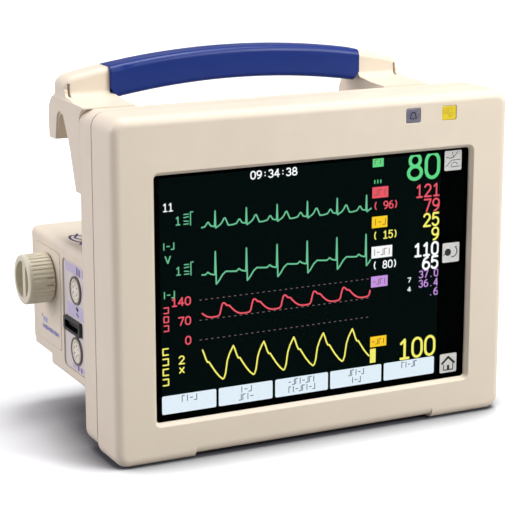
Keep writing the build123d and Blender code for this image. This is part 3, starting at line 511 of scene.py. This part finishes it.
def trace(sheet, shape, base, width):
    """Repeat one beat's shape, given as (share of the beat, height) pairs, along the trace."""
    path = []
    for start in beats():
        for share, height in shape:
            path.append((start + share * BEAT, base + height))
    clipped = []
    for (u0, z0), (u1, z1) in zip(path, path[1:]):
        for u, z in ((u0, z0), (u1, z1)):
            if TRACE_X[0] <= u <= TRACE_X[1]:
                point = (u, z)
            else:
                edge = TRACE_X[0] if u < TRACE_X[0] else TRACE_X[1]
                if (u0 - edge) * (u1 - edge) >= 0:
                    continue
                point = (edge, z0 + (z1 - z0) * (edge - u0) / (u1 - u0))
            if not clipped or math.hypot(clipped[-1][0] - point[0], clipped[-1][1] - point[1]) > 1e-4:
                clipped.append(point)
    sheet.stroke(clipped, width)


# One beat of each trace, as (share of the beat, height in millimetres) pairs. PRESSURE is the arterial
# wave, with a fast rise, a notch and a slow run-off.
ECG = [
    (0.0, 8.0), (0.02, -1.2), (0.09, -0.4), (0.16, 0.3), (0.22, 1.5), (0.28, 3.5), (0.32, 3.7),
    (0.37, 1.7), (0.42, -0.4), (0.55, -0.4), (0.68, 0.1), (0.76, 2.2), (0.79, 2.2), (0.86, 0.2),
    (0.97, -0.3), (0.985, 0.2),
]
CHEST = [
    (0.0, 12.4), (0.03, -5.4), (0.12, -3.6), (0.23, -0.6), (0.34, 1.0), (0.52, 0.6), (0.68, 0.4),
    (0.76, 1.6), (0.84, 0.5), (0.95, -0.1), (0.985, 0.0),
]
PRESSURE = [
    (0.0, -3.9), (0.10, -3.6), (0.14, -2.6), (0.18, 0.6), (0.22, 2.8), (0.26, 3.2), (0.31, 2.7), (0.36, 1.6),
    (0.40, 1.5), (0.45, 1.3), (0.52, -0.2), (0.62, -2.0), (0.74, -3.4), (0.86, -3.9), (0.98, -3.9),
]
PULSE = [
    (0.22, -9.0), (0.26, -8.6), (0.31, -6.2), (0.37, 1.0), (0.44, 4.6), (0.52, 7.4), (0.57, 8.9),
    (0.62, 6.6), (0.68, 3.4), (0.73, 1.6), (0.78, 1.6), (0.86, -0.8), (0.98, -4.2), (1.12, -7.4),
]
SCALE_LEVELS = (85.9, 74.8, 63.9)
DASHES = 31
DASH_STEP = 3.4


def screen_traces():
    green = Sheet(IMAGE_Y)
    trace(green, ECG, 125.4, 0.75)
    trace(green, CHEST, 99.0, 0.8)
    green.finish("screen_traces_green", LIT["green"])
    red = Sheet(IMAGE_Y)
    trace(red, PRESSURE, 79.6, 0.85)
    red.finish("screen_trace_pressure", LIT["red"])
    yellow = Sheet(IMAGE_Y)
    trace(yellow, PULSE, 49.4, 0.85)
    yellow.finish("screen_trace_pulse", LIT["yellow"])
    dashes = Sheet(IMAGE_Y + 0.02)
    for level in SCALE_LEVELS:
        for index in range(DASHES):
            left = TRACE_X[0] - 1.5 + index * DASH_STEP
            dashes.stroke([(left, level), (left + 1.0, level)], 0.34)
    dashes.finish("screen_scale_dashes", LIT["dash"])


# Each value is its text, its foot, its top, the step from digit to digit and the width of its line.
VALUES = {
    "bright_green": [("80", 139.7, 153.5, 11.3, 2.0)],
    "red": [("121", 129.2, 136.0, 5.5, 0.95), ("79", 120.6, 127.4, 5.5, 0.95)],
    "yellow": [
        ("25", 112.2, 119.2, 5.6, 1.15),
        ("9", 103.9, 110.8, 5.6, 1.15),
        ("100", 36.6, 47.6, 8.4, 1.5),
    ],
    "white": [("110", 95.4, 102.4, 5.6, 1.3), ("65", 87.4, 94.2, 5.6, 1.3)],
    "purple": [
        ("37.0", 82.6, 86.6, 3.3, 0.6),
        ("36.4", 77.2, 81.2, 3.3, 0.6),
        (".6", 71.8, 75.8, 3.3, 0.6),
    ],
}
VALUE_RIGHT = {"100": 79.2}     # the right edges that differ from the column's
COLUMN_RIGHT = 79.8
# Each mean is its text, its foot and its top.
MEANS = {
    "red": ("( 96)", 124.8, 128.9),
    "yellow": ("( 15)", 108.0, 112.1),
    "white": ("( 80)", 91.0, 95.1),
}
MEAN_RIGHT = 53.0
MEAN_PITCH = 3.4
LABEL_LEFT = -90.4              # the column of labels at the image's left edge
SCALE_RIGHT = -73.8             # right edge of the pressure scale's numbers
GAIN_X = -77.6                  # left end of the green gain marks, right edge of the yellow gain


def measured_values():
    """The measured values at the right, some with their mean in brackets."""
    for colour, values in VALUES.items():
        sheet = Sheet(IMAGE_Y)
        for text, low, high, pitch, width in values:
            write_number(sheet, text, VALUE_RIGHT.get(text, COLUMN_RIGHT), low, high, pitch, width)
        if colour in MEANS:
            text, low, high = MEANS[colour]
            write_number(sheet, text, MEAN_RIGHT, low, high, MEAN_PITCH, 0.66)
        sheet.finish("screen_values_" + colour, LIT[colour])


def scale_labels():
    """The labels at the left of the traces: numbers as they are, and ticks and hooks for words."""
    red = Sheet(IMAGE_Y)
    for text, middle in (("140", 86.4), ("70", 75.6), ("0", 64.7)):
        write_number(red, text, SCALE_RIGHT, middle - 2.1, middle + 2.1, 3.9, 0.75)
    for index in range(3):
        high = 84.0 - index * 4.9
        hook = [(-89.6, high), (-87.0, high), (-87.0, high - 3.0), (-89.6, high - 3.0)]
        red.stroke(hook, 0.65, closed=index == 1)
    red.finish("screen_scale_red", LIT["red"])
    green = Sheet(IMAGE_Y)
    for middle in (130.6, 103.6):
        write_number(green, "1", -79.2, middle - 2.6, middle + 1.6, 3.6, 0.6)
        for side in (-1, 1):
            green.stroke([(GAIN_X, middle + side * 2.6), (-75.0, middle + side * 2.6)], 0.55)
            green.stroke([(GAIN_X, middle + side * 0.9), (-75.0, middle + side * 1.2)], 0.55)
        green.stroke([(-73.8, middle - 3.4), (-73.8, middle + 3.6), (-72.4, middle + 3.6)], 0.55)
    for middle in (117.0, 90.8):
        mark_row(green, LABEL_LEFT, -83.0, middle - 1.7, middle + 1.7, 3, 0.6, 1)
    green.stroke([(-88.4, 111.6), (-87.0, 108.0), (-85.6, 111.6)], 0.7)
    green.finish("screen_labels_green", LIT["green"])
    yellow = Sheet(IMAGE_Y)
    for index in range(4):
        high = 61.6 - index * 5.6
        low = high - 3.4
        upright = LABEL_LEFT + 3.0 * (index % 2)
        yellow.stroke([(LABEL_LEFT, high), (LABEL_LEFT + 3.0, high)], 0.75)
        yellow.stroke([(LABEL_LEFT, low), (LABEL_LEFT + 3.0, low)], 0.75)
        yellow.stroke([(upright, high), (upright, low)], 0.75)
    write_number(yellow, "2", GAIN_X, 52.2, 56.4, 4.0, 0.75)
    write_number(yellow, "x", GAIN_X, 47.0, 51.6, 4.0, 0.75)
    yellow.finish("screen_labels_yellow", LIT["yellow"])


def clock_and_lead():
    """The clock, the first trace's lead number and the two channel numbers at the right."""
    white = Sheet(IMAGE_Y)
    write_number(white, "09:34:38", -10.6, 148.6, 152.6, 3.55, 0.72)
    write_number(white, "11", -83.4, 135.8, 139.8, 3.2, 0.6)
    write_number(white, "7", 61.9, 80.9, 83.4, 2.6, 0.45)
    write_number(white, "4", 61.9, 75.6, 78.1, 2.6, 0.45)
    white.finish("screen_clock", LIT["white"])


def screen_tags():
    """The coloured tags beside the values; each tag holds a row of darker ticks."""
    tags = {
        "bright_green": [(35.8, 148.6, 42.6, 154.2)],
        "red": [(35.8, 131.2, 45.9, 137.4)],
        "amber": [(35.8, 114.4, 45.6, 120.8), (35.8, 46.0, 46.2, 52.0)],
        "white": [(35.8, 97.2, 49.0, 103.8)],
        "purple": [(35.8, 80.6, 46.4, 86.8)],
        "yellow": [(35.8, 36.9, 39.4, 45.0)],
    }
    ticks = Sheet(TICK_Y, thick=0.06)
    for colour, boxes in tags.items():
        sheet = Sheet(IMAGE_Y)
        for index, (u0, z0, u1, z1) in enumerate(boxes):
            sheet.bar(u0, z0, u1, z1)
            if colour != "yellow":
                count = int((u1 - u0) / 2.6)
                mark_row(ticks, u0 + 0.8, u1 - 0.8, z0 + 1.6, z1 - 1.6, count, 0.4, index + len(colour))
        if colour == "bright_green":
            for index in range(3):
                sheet.stroke([(37.2 + index * 1.9, 139.6), (37.2 + index * 1.9, 141.2)], 0.6)
        sheet.finish("screen_tags_" + colour, LIT[colour])
    ticks.finish("screen_tag_ticks", lit("lit_tick", srgb(120, 92, 60)))


KEYS_X = [(-91.3, -59.5), (-58.0, -25.5), (-23.8, 9.0), (10.5, 43.2), (44.9, 78.0)]
KEYS_Z = (25.2, 35.4)
# For each key, the width and the number of ticks of each row.
KEY_WORDS = [[(9.5, 4)], [(7.5, 3), (9.5, 4)], [(17.0, 8), (17.0, 8)], [(10.5, 5), (6.5, 3)], [(10.5, 5)]]


def soft_keys():
    """The five lit keys along the bottom. Plain ticks stand for their words."""
    keys = Sheet(IMAGE_Y)
    ink = Sheet(TICK_Y, thick=0.06)
    for number, (left, right) in enumerate(KEYS_X):
        keys.tile(left, KEYS_Z[0], right, KEYS_Z[1], 0.9)
        middle = (left + right) / 2
        for row, (width, marks) in enumerate(KEY_WORDS[number]):
            high = KEYS_Z[1] - 1.0 - row * 4.3
            half = width / 2
            mark_row(ink, middle - half, middle + half, high - 3.1, high, marks, 0.42, number + row * 2)
    keys.finish("screen_soft_keys", LIT["key"])
    ink.finish("screen_soft_key_marks", LIT["ink"])


ICON_X = (81.9, 93.1)
ICON_FEET = (24.4, 89.7, 142.6)
ICON_TALL = 11.3


def touch_icons():
    """Three grey touch keys printed on the border: a house, a bulb with its hose, and a wave."""
    tiles = Sheet(TILE_Y, thick=0.05)
    ink = Sheet(MARK_Y, thick=0.03)
    for low in ICON_FEET:
        tiles.tile(ICON_X[0], low, ICON_X[1], low + ICON_TALL, 0.9)
    middle = sum(ICON_X) / 2
    # the house: a roof, walls and a door
    ink.stroke([(middle - 4.0, 30.0), (middle, 33.6), (middle + 4.0, 30.0)], 1.3)
    ink.stroke([(middle - 3.0, 29.0), (middle - 3.0, 26.0), (middle + 3.2, 26.0), (middle + 3.2, 29.4)], 0.6)
    ink.bar(middle - 0.7, 26.2, middle + 0.9, 28.8)
    # the bulb and its hose
    ink.disc(middle - 2.0, 95.6, 2.1, 18)
    ink.stroke(arc(middle + 0.8, 95.8, 3.2, 3.2, -95, 40, 10), 0.6)
    ink.stroke([(middle - 4.8, 94.2), (middle - 3.4, 95.0)], 0.45)
    ink.stroke([(middle + 2.6, 98.0), (middle + 3.4, 98.8), (middle + 3.6, 97.0)], 0.4)
    # the wave, over a low dome
    wave = [(-4.4, 150.4), (-2.2, 149.6), (0.2, 150.0), (3.0, 153.0)]
    ink.stroke([(middle + u, z) for u, z in wave], 0.4)
    ink.stroke([(middle - 0.6, 153.0), (middle + 0.2, 150.2)], 0.35)
    ink.stroke([(middle - 4.6, 145.0), (middle - 1.2, 148.4), (middle + 4.6, 148.6)], 0.4)
    ink.stroke(arc(middle + 0.8, 145.6, 2.0, 1.6, 10, 190, 8), 0.35)
    ink.stroke([(middle - 1.4, 144.6), (middle + 4.2, 144.8)], 0.35)
    tiles.finish("touch_key_tiles", ICON_GREY)
    ink.finish("touch_key_marks", ICON_INK)


def lamp_marks():
    """A bell drawn on the grey lens and a wave on the yellow one."""
    grey_low, grey_high = case_box("alarm_lens_grey")
    yellow_low, yellow_high = case_box("alarm_lens_yellow")
    depth = grey_low[1] - 0.05
    bell = Sheet(depth, thick=0.08)
    middle, level = (grey_low[0] + grey_high[0]) / 2, (grey_low[2] + grey_high[2]) / 2
    bell.stroke([(middle - 2.2, level - 1.5), (middle + 2.2, level - 1.5)], 0.6)
    bell.stroke(arc(middle, level - 0.1, 1.5, 2.0, 0, 180, 8), 0.6)
    for side in (-1, 1):
        bell.stroke([(middle + side * 1.5, level - 0.1), (middle + side * 1.9, level - 1.4)], 0.6)
    bell.disc(middle, level - 2.2, 0.35, 10)
    bell.finish("bell_mark", printed("mark_slate", srgb(52, 52, 84)))
    wave = Sheet(depth, thick=0.08)
    middle, level = (yellow_low[0] + yellow_high[0]) / 2, (yellow_low[2] + yellow_high[2]) / 2
    path = [(-3.2, 0.0), (-1.4, 0.0), (-0.6, 1.9), (0.4, -1.8), (1.2, 0.0), (3.2, 0.0)]
    wave.stroke([(middle + u, level + z) for u, z in path], 0.34)
    wave.finish("wave_mark", printed("mark_ochre", srgb(204, 176, 26)))


TINT_PROUD = 0.05       # how far a printed ground stands off its panel
INK_PROUD = 0.12        # and the marks on it


def side_labels():
    """Printed areas on the left side, with plain bars for their words."""
    panel_x = case_box("connector_panel")[0][0]
    module_x = case_box("knob_panel")[0][0]
    tint = Sheet(panel_x - TINT_PROUD, "left", 0.1)
    tint.tile(49.6, 91.4, 80.6, 96.6, 1.0)
    tint.tile(49.6, 67.0, 78.6, 74.2, 1.0)
    tint.tile(49.6, 37.2, 72.6, 40.0, 0.8)
    tint.polygon([(49.6, 78.0), (53.4, 78.0), (55.4, 86.0), (53.0, 91.4), (49.6, 91.4)])
    tint.finish("socket_labels", LAVENDER_INK)
    violet = Sheet(panel_x - INK_PROUD, "left", 0.08)
    for y, z, tall in ((62.6, 94.0, 1.7), (59.4, 93.6, 1.5), (53.4, 94.4, 1.5)):
        violet.stroke([(y, z - tall), (y, z + tall)], 1.5)
    for y, z, tall in ((63.2, 38.6, 0.8), (58.6, 38.4, 0.8)):
        violet.stroke([(y, z - tall), (y, z + tall)], 1.4)
    violet.stroke([(51.4, 38.8), (51.2, 38.0)], 1.0)
    violet.finish("socket_label_marks", VIOLET_INK)
    slate = Sheet(panel_x - INK_PROUD, "left", 0.08)
    slate.stroke([(64.4, 72.6), (62.6, 72.0)], 2.0)
    slate.stroke([(64.4, 69.6), (62.0, 68.6)], 1.2)
    slate.finish("socket_label_marks_blue", SLATE_INK)
    module = Sheet(module_x - TINT_PROUD, "left", 0.1)
    module.tile(90.0, 49.2, 117.6, 51.8, 0.8)
    module.tile(108.6, 53.4, 116.0, 56.4, 0.6)
    module.finish("module_label", printed("label_pale_blue", srgb(170, 172, 204)))
    bars = Sheet(module_x - INK_PROUD, "left", 0.08)
    mark_row(bars, 91.4, 116.4, 49.9, 51.2, 13, 0.5, 2)
    bars.stroke([(117.8, 56.8), (117.6, 56.2)], 0.9)
    bars.finish("module_label_marks", VIOLET_INK)


BLOCK_TOP = 106.0


def block_mark():
    """A violet ring and tail on the top of the side block, a plain stand-in for its printed badge."""
    mark = Sheet(BLOCK_TOP + 0.06, "up", 0.1)
    mark.stroke(arc(-105.0, 88.0, 4.4, 9.5, 0, 360, 20), 1.5)
    mark.stroke([(-109.6, 74.0), (-104.0, 84.0), (-106.5, 91.0), (-101.5, 100.0)], 1.4)
    mark.finish("block_mark", VIOLET_INK)


def right_marks():
    """Small printed symbols beside the sockets on the right side."""
    x = case_box("right_panel")[1][0]
    ink = Sheet(x + INK_PROUD, "right", 0.1)
    ink.stroke([(70.0, 92.0), (70.0, 94.4)], 0.5)
    ink.stroke(arc(74.6, 93.2, 1.1, 1.1, 0, 360, 16), 0.45)
    ink.stroke([(58.0, 63.6), (60.6, 63.6)], 0.4)
    for index in range(3):
        ink.stroke([(63.0 + index * 1.2, 63.6), (63.6 + index * 1.2, 63.6)], 0.4)
    for index, reach in enumerate((2.0, 1.3, 0.6)):
        ink.stroke([(75.5 - reach, 61.8 - index * 0.9), (75.5 + reach, 61.8 - index * 0.9)], 0.35)
    ink.stroke([(75.5, 61.8), (75.5, 63.6)], 0.35)
    ink.finish("socket_symbols", printed("symbol_ink", srgb(84, 84, 100)))


def rear_label():
    """A blank rating plate with plain bars, on the rear cover below the louvres."""
    y = case_box("rear_cover")[1][1]
    plate = Sheet(y + 0.08, "back", 0.1)
    plate.tile(-20.0, 41.6, 50.0, 54.0, 1.2)
    plate.finish("rating_plate", printed("plate_silver", srgb(206, 208, 212), 0.35))
    bars = Sheet(y + 0.14, "back", 0.06)
    for row in range(3):
        level = 51.0 - row * 3.2
        for column in range(3):
            left = -17.0 + column * 22.0
            length = 17.0 - 4.0 * ((row + column) % 3)
            bars.stroke([(left, level), (left + length, level)], 0.6)
    bars.finish("rating_plate_marks", printed("plate_ink", srgb(60, 62, 66)))


# ---- solid details ----------------------------------------------------------------------------------
def turned_pin(centre, rings, sides=12):
    """A pin along X; its rings are (X, radius) pairs, and centre is its Y and Z, in millimetres."""
    bm = bmesh.new()
    loops = []
    for x, radius in rings:
        loop = []
        for index in range(sides):
            angle = 2 * math.pi * index / sides
            y = centre[0] + radius * math.cos(angle)
            z = centre[1] + radius * math.sin(angle)
            loop.append(bm.verts.new(at(x, y, z)))
        loops.append(loop)
    for first, second in zip(loops, loops[1:]):
        for index in range(sides):
            after = (index + 1) % sides
            bm.faces.new((first[index], first[after], second[after], second[index]))
    bm.faces.new(loops[0])
    bm.faces.new(loops[-1][::-1])
    bmesh.ops.recalc_face_normals(bm, faces=bm.faces)
    return bm


def gather(parts, name, material):
    """Join several bmeshes into one smooth piece on the case."""
    joined = bmesh.new()
    for part in parts:
        mesh = bpy.data.meshes.new("part")
        part.to_mesh(mesh)
        part.free()
        joined.from_mesh(mesh)
        bpy.data.meshes.remove(mesh)
    mesh = bpy.data.meshes.new(name)
    joined.to_mesh(mesh)
    joined.free()
    mesh.materials.append(material)
    mesh.shade_smooth()
    mesh.set_sharp_from_angle(angle=math.radians(35))
    piece = bpy.data.objects.new(name, mesh)
    bpy.context.scene.collection.objects.link(piece)
    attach(piece, "root")


# The (X, radius) pairs of a pin's foot, shoulder and tip.
PIN_RINGS = [(-112.2, 0.5), (-115.6, 0.5), (-116.1, 0.28)]
PIN_CIRCLE = 3.1
SOCKET_BODY_R = 6.7             # the CAD socket inside its ring


def socket_pins():
    """The six gold pins in each of the two round sockets."""
    low, high = case_box("pressure_sockets")
    y = (low[1] + high[1]) / 2
    parts = []
    for z in (low[2] + SOCKET_BODY_R, high[2] - SOCKET_BODY_R):
        for turn in range(6):
            angle = math.radians(60 * turn + 30)
            centre = (y + PIN_CIRCLE * math.cos(angle), z + PIN_CIRCLE * math.sin(angle))
            parts.append(turned_pin(centre, PIN_RINGS))
    gather(parts, "socket_pins", metal("gold_pins", srgb(232, 196, 104), 0.22))


def build_details():
    screen_ground()
    screen_traces()
    measured_values()
    scale_labels()
    clock_and_lead()
    screen_tags()
    soft_keys()
    touch_icons()
    lamp_marks()
    side_labels()
    block_mark()
    right_marks()
    rear_label()
    socket_pins()


build_details()


# ---- floor, light and camera ------------------------------------------------------------------------
FLOOR_REACH = 12.0
FLOOR_DROP = 0.2 * MM           # keeps the paper clear of the feet
CONTACT_REACH = 48 * MM         # how far the painted contact shadow under the case spreads over the paper


def make_floor():
    """A wide sheet of white paper, with a painted contact shadow where the monitor stands close over it."""
    bm = bmesh.new()
    for side_x, side_y in ((-1, -1), (1, -1), (1, 1), (-1, 1)):
        bm.verts.new((FLOOR_REACH * side_x, FLOOR_REACH * side_y, -FLOOR_DROP))
    bm.faces.new(bm.verts)
    mesh = bpy.data.meshes.new("floor")
    bm.to_mesh(mesh)
    bm.free()
    recipe = Recipe("floor_paper")
    shade = recipe.spread(recipe.noise(3, 2), 0.3, 0.7, 0.0, 1.0)
    paper = recipe.mix(shade, srgb(246, 247, 250), srgb(250, 251, 253))
    # Painted shadow: ambient occlusion darkens the paper's colour near the case, standing in for its contact
    # shadow.
    openness = recipe.node("ShaderNodeAmbientOcclusion")
    openness.samples = 16
    openness.inputs["Distance"].default_value = CONTACT_REACH
    contact_shadow_mask = recipe.spread(openness.outputs["AO"], 0.4, 0.9, 0.0, 1.0)
    painted_shadow = recipe.mix(contact_shadow_mask, srgb(88, 90, 98), paper)
    seen = recipe.node("ShaderNodeLightPath").outputs["Is Camera Ray"]
    recipe.feed("Base Color", recipe.mix(seen, srgb(150, 149, 150), painted_shadow))
    recipe.set(Roughness=0.9, Specular_IOR_Level=0.1)
    mesh.materials.append(recipe.material)
    floor = bpy.data.objects.new("floor", mesh)
    bpy.context.scene.collection.objects.link(floor)


AMBIENT = 0.36
DARK_SIDE = Vector((-0.76, -0.65, 0.0))     # the studio's dimmer corner, in front and to the left
DARKEST = 0.55                              # its share of the ambient light
DIMMING = (0.1, 0.95)                       # the cosines to it where dimming starts and is complete


def make_world():
    """A white studio, lit from all round, with one dimmer corner. The camera sees plain white."""
    world = bpy.data.worlds.new("studio")
    world.use_nodes = True
    tree = world.node_tree
    place = tree.nodes.new("ShaderNodeTexCoord")
    facing = tree.nodes.new("ShaderNodeVectorMath")
    facing.operation = "DOT_PRODUCT"
    facing.inputs[1].default_value = DARK_SIDE
    tree.links.new(place.outputs["Generated"], facing.inputs[0])
    fall = tree.nodes.new("ShaderNodeMapRange")
    for key, number in zip(RANGE_SOCKETS, (*DIMMING, AMBIENT, DARKEST * AMBIENT)):
        fall.inputs[key].default_value = number
    tree.links.new(facing.outputs["Value"], fall.inputs["Value"])
    around = tree.nodes["Background"]
    around.inputs["Color"].default_value = srgb(246, 246, 252)
    tree.links.new(fall.outputs["Result"], around.inputs["Strength"])
    seen = tree.nodes.new("ShaderNodeBackground")
    seen.inputs["Color"].default_value = (1, 1, 1, 1)
    path = tree.nodes.new("ShaderNodeLightPath")
    mix = tree.nodes.new("ShaderNodeMixShader")
    tree.links.new(path.outputs["Is Camera Ray"], mix.inputs[0])
    tree.links.new(around.outputs[0], mix.inputs[1])
    tree.links.new(seen.outputs[0], mix.inputs[2])
    tree.links.new(mix.outputs[0], tree.nodes["World Output"].inputs["Surface"])
    bpy.context.scene.world = world


def far_softbox(name, source, strength, spread, colour):
    """A large soft source, so far off that it lights the floor evenly; source is the way towards it."""
    light = bpy.data.lights.new(name, "SUN")
    light.energy = strength
    light.angle = math.radians(spread)
    light.color = colour
    lamp = bpy.data.objects.new(name, light)
    lamp.rotation_euler = Vector(source).to_track_quat("Z", "Y").to_euler()
    bpy.context.scene.collection.objects.link(lamp)


def near_softbox(name, source, aim, power, size, colour):
    """A softbox close enough for its light to fall off across the case."""
    light = bpy.data.lights.new(name, "AREA")
    light.energy = power
    light.size = size
    light.color = colour
    lamp = bpy.data.objects.new(name, light)
    lamp.location = source
    lamp.rotation_euler = (Vector(aim) - Vector(source)).to_track_quat("-Z", "Y").to_euler()
    bpy.context.scene.collection.objects.link(lamp)


def make_lights():
    far_softbox("key", (0.66, -0.75, 0.66), 0.72, 56, (1.0, 0.98, 0.95))
    far_softbox("side", (-0.84, 0.34, 0.3), 2.05, 50, (0.985, 0.955, 1.0))
    far_softbox("top", (0.2, -0.04, 0.95), 2.35, 30, (1.0, 1.0, 0.985))
    near_softbox("corner", (0.52, -0.66, 0.62), (0.1, -0.06, 0.17), 5.4, 0.45, (1.0, 0.995, 0.96))


CAMERA_PLACE = Vector((-0.4472, -0.9054, 0.3335))
CAMERA_TURN = math.radians(26.5)
CAMERA_TILT = math.radians(13.45)
CAMERA_LENS = 125.2


def make_camera():
    data = bpy.data.cameras.new("camera")
    data.lens = CAMERA_LENS
    data.sensor_width = 36.0
    data.clip_start = 0.05
    ahead = Vector((math.sin(CAMERA_TURN) * math.cos(CAMERA_TILT),
                    math.cos(CAMERA_TURN) * math.cos(CAMERA_TILT), -math.sin(CAMERA_TILT)))
    camera = bpy.data.objects.new("camera", data)
    camera.location = CAMERA_PLACE
    camera.rotation_euler = ahead.to_track_quat("-Z", "Y").to_euler()
    bpy.context.scene.collection.objects.link(camera)
    bpy.context.scene.camera = camera


make_floor()
make_world()
make_lights()
make_camera()
bpy.context.scene.view_settings.view_transform = "Standard"
bpy.context.scene.view_settings.look = "None"
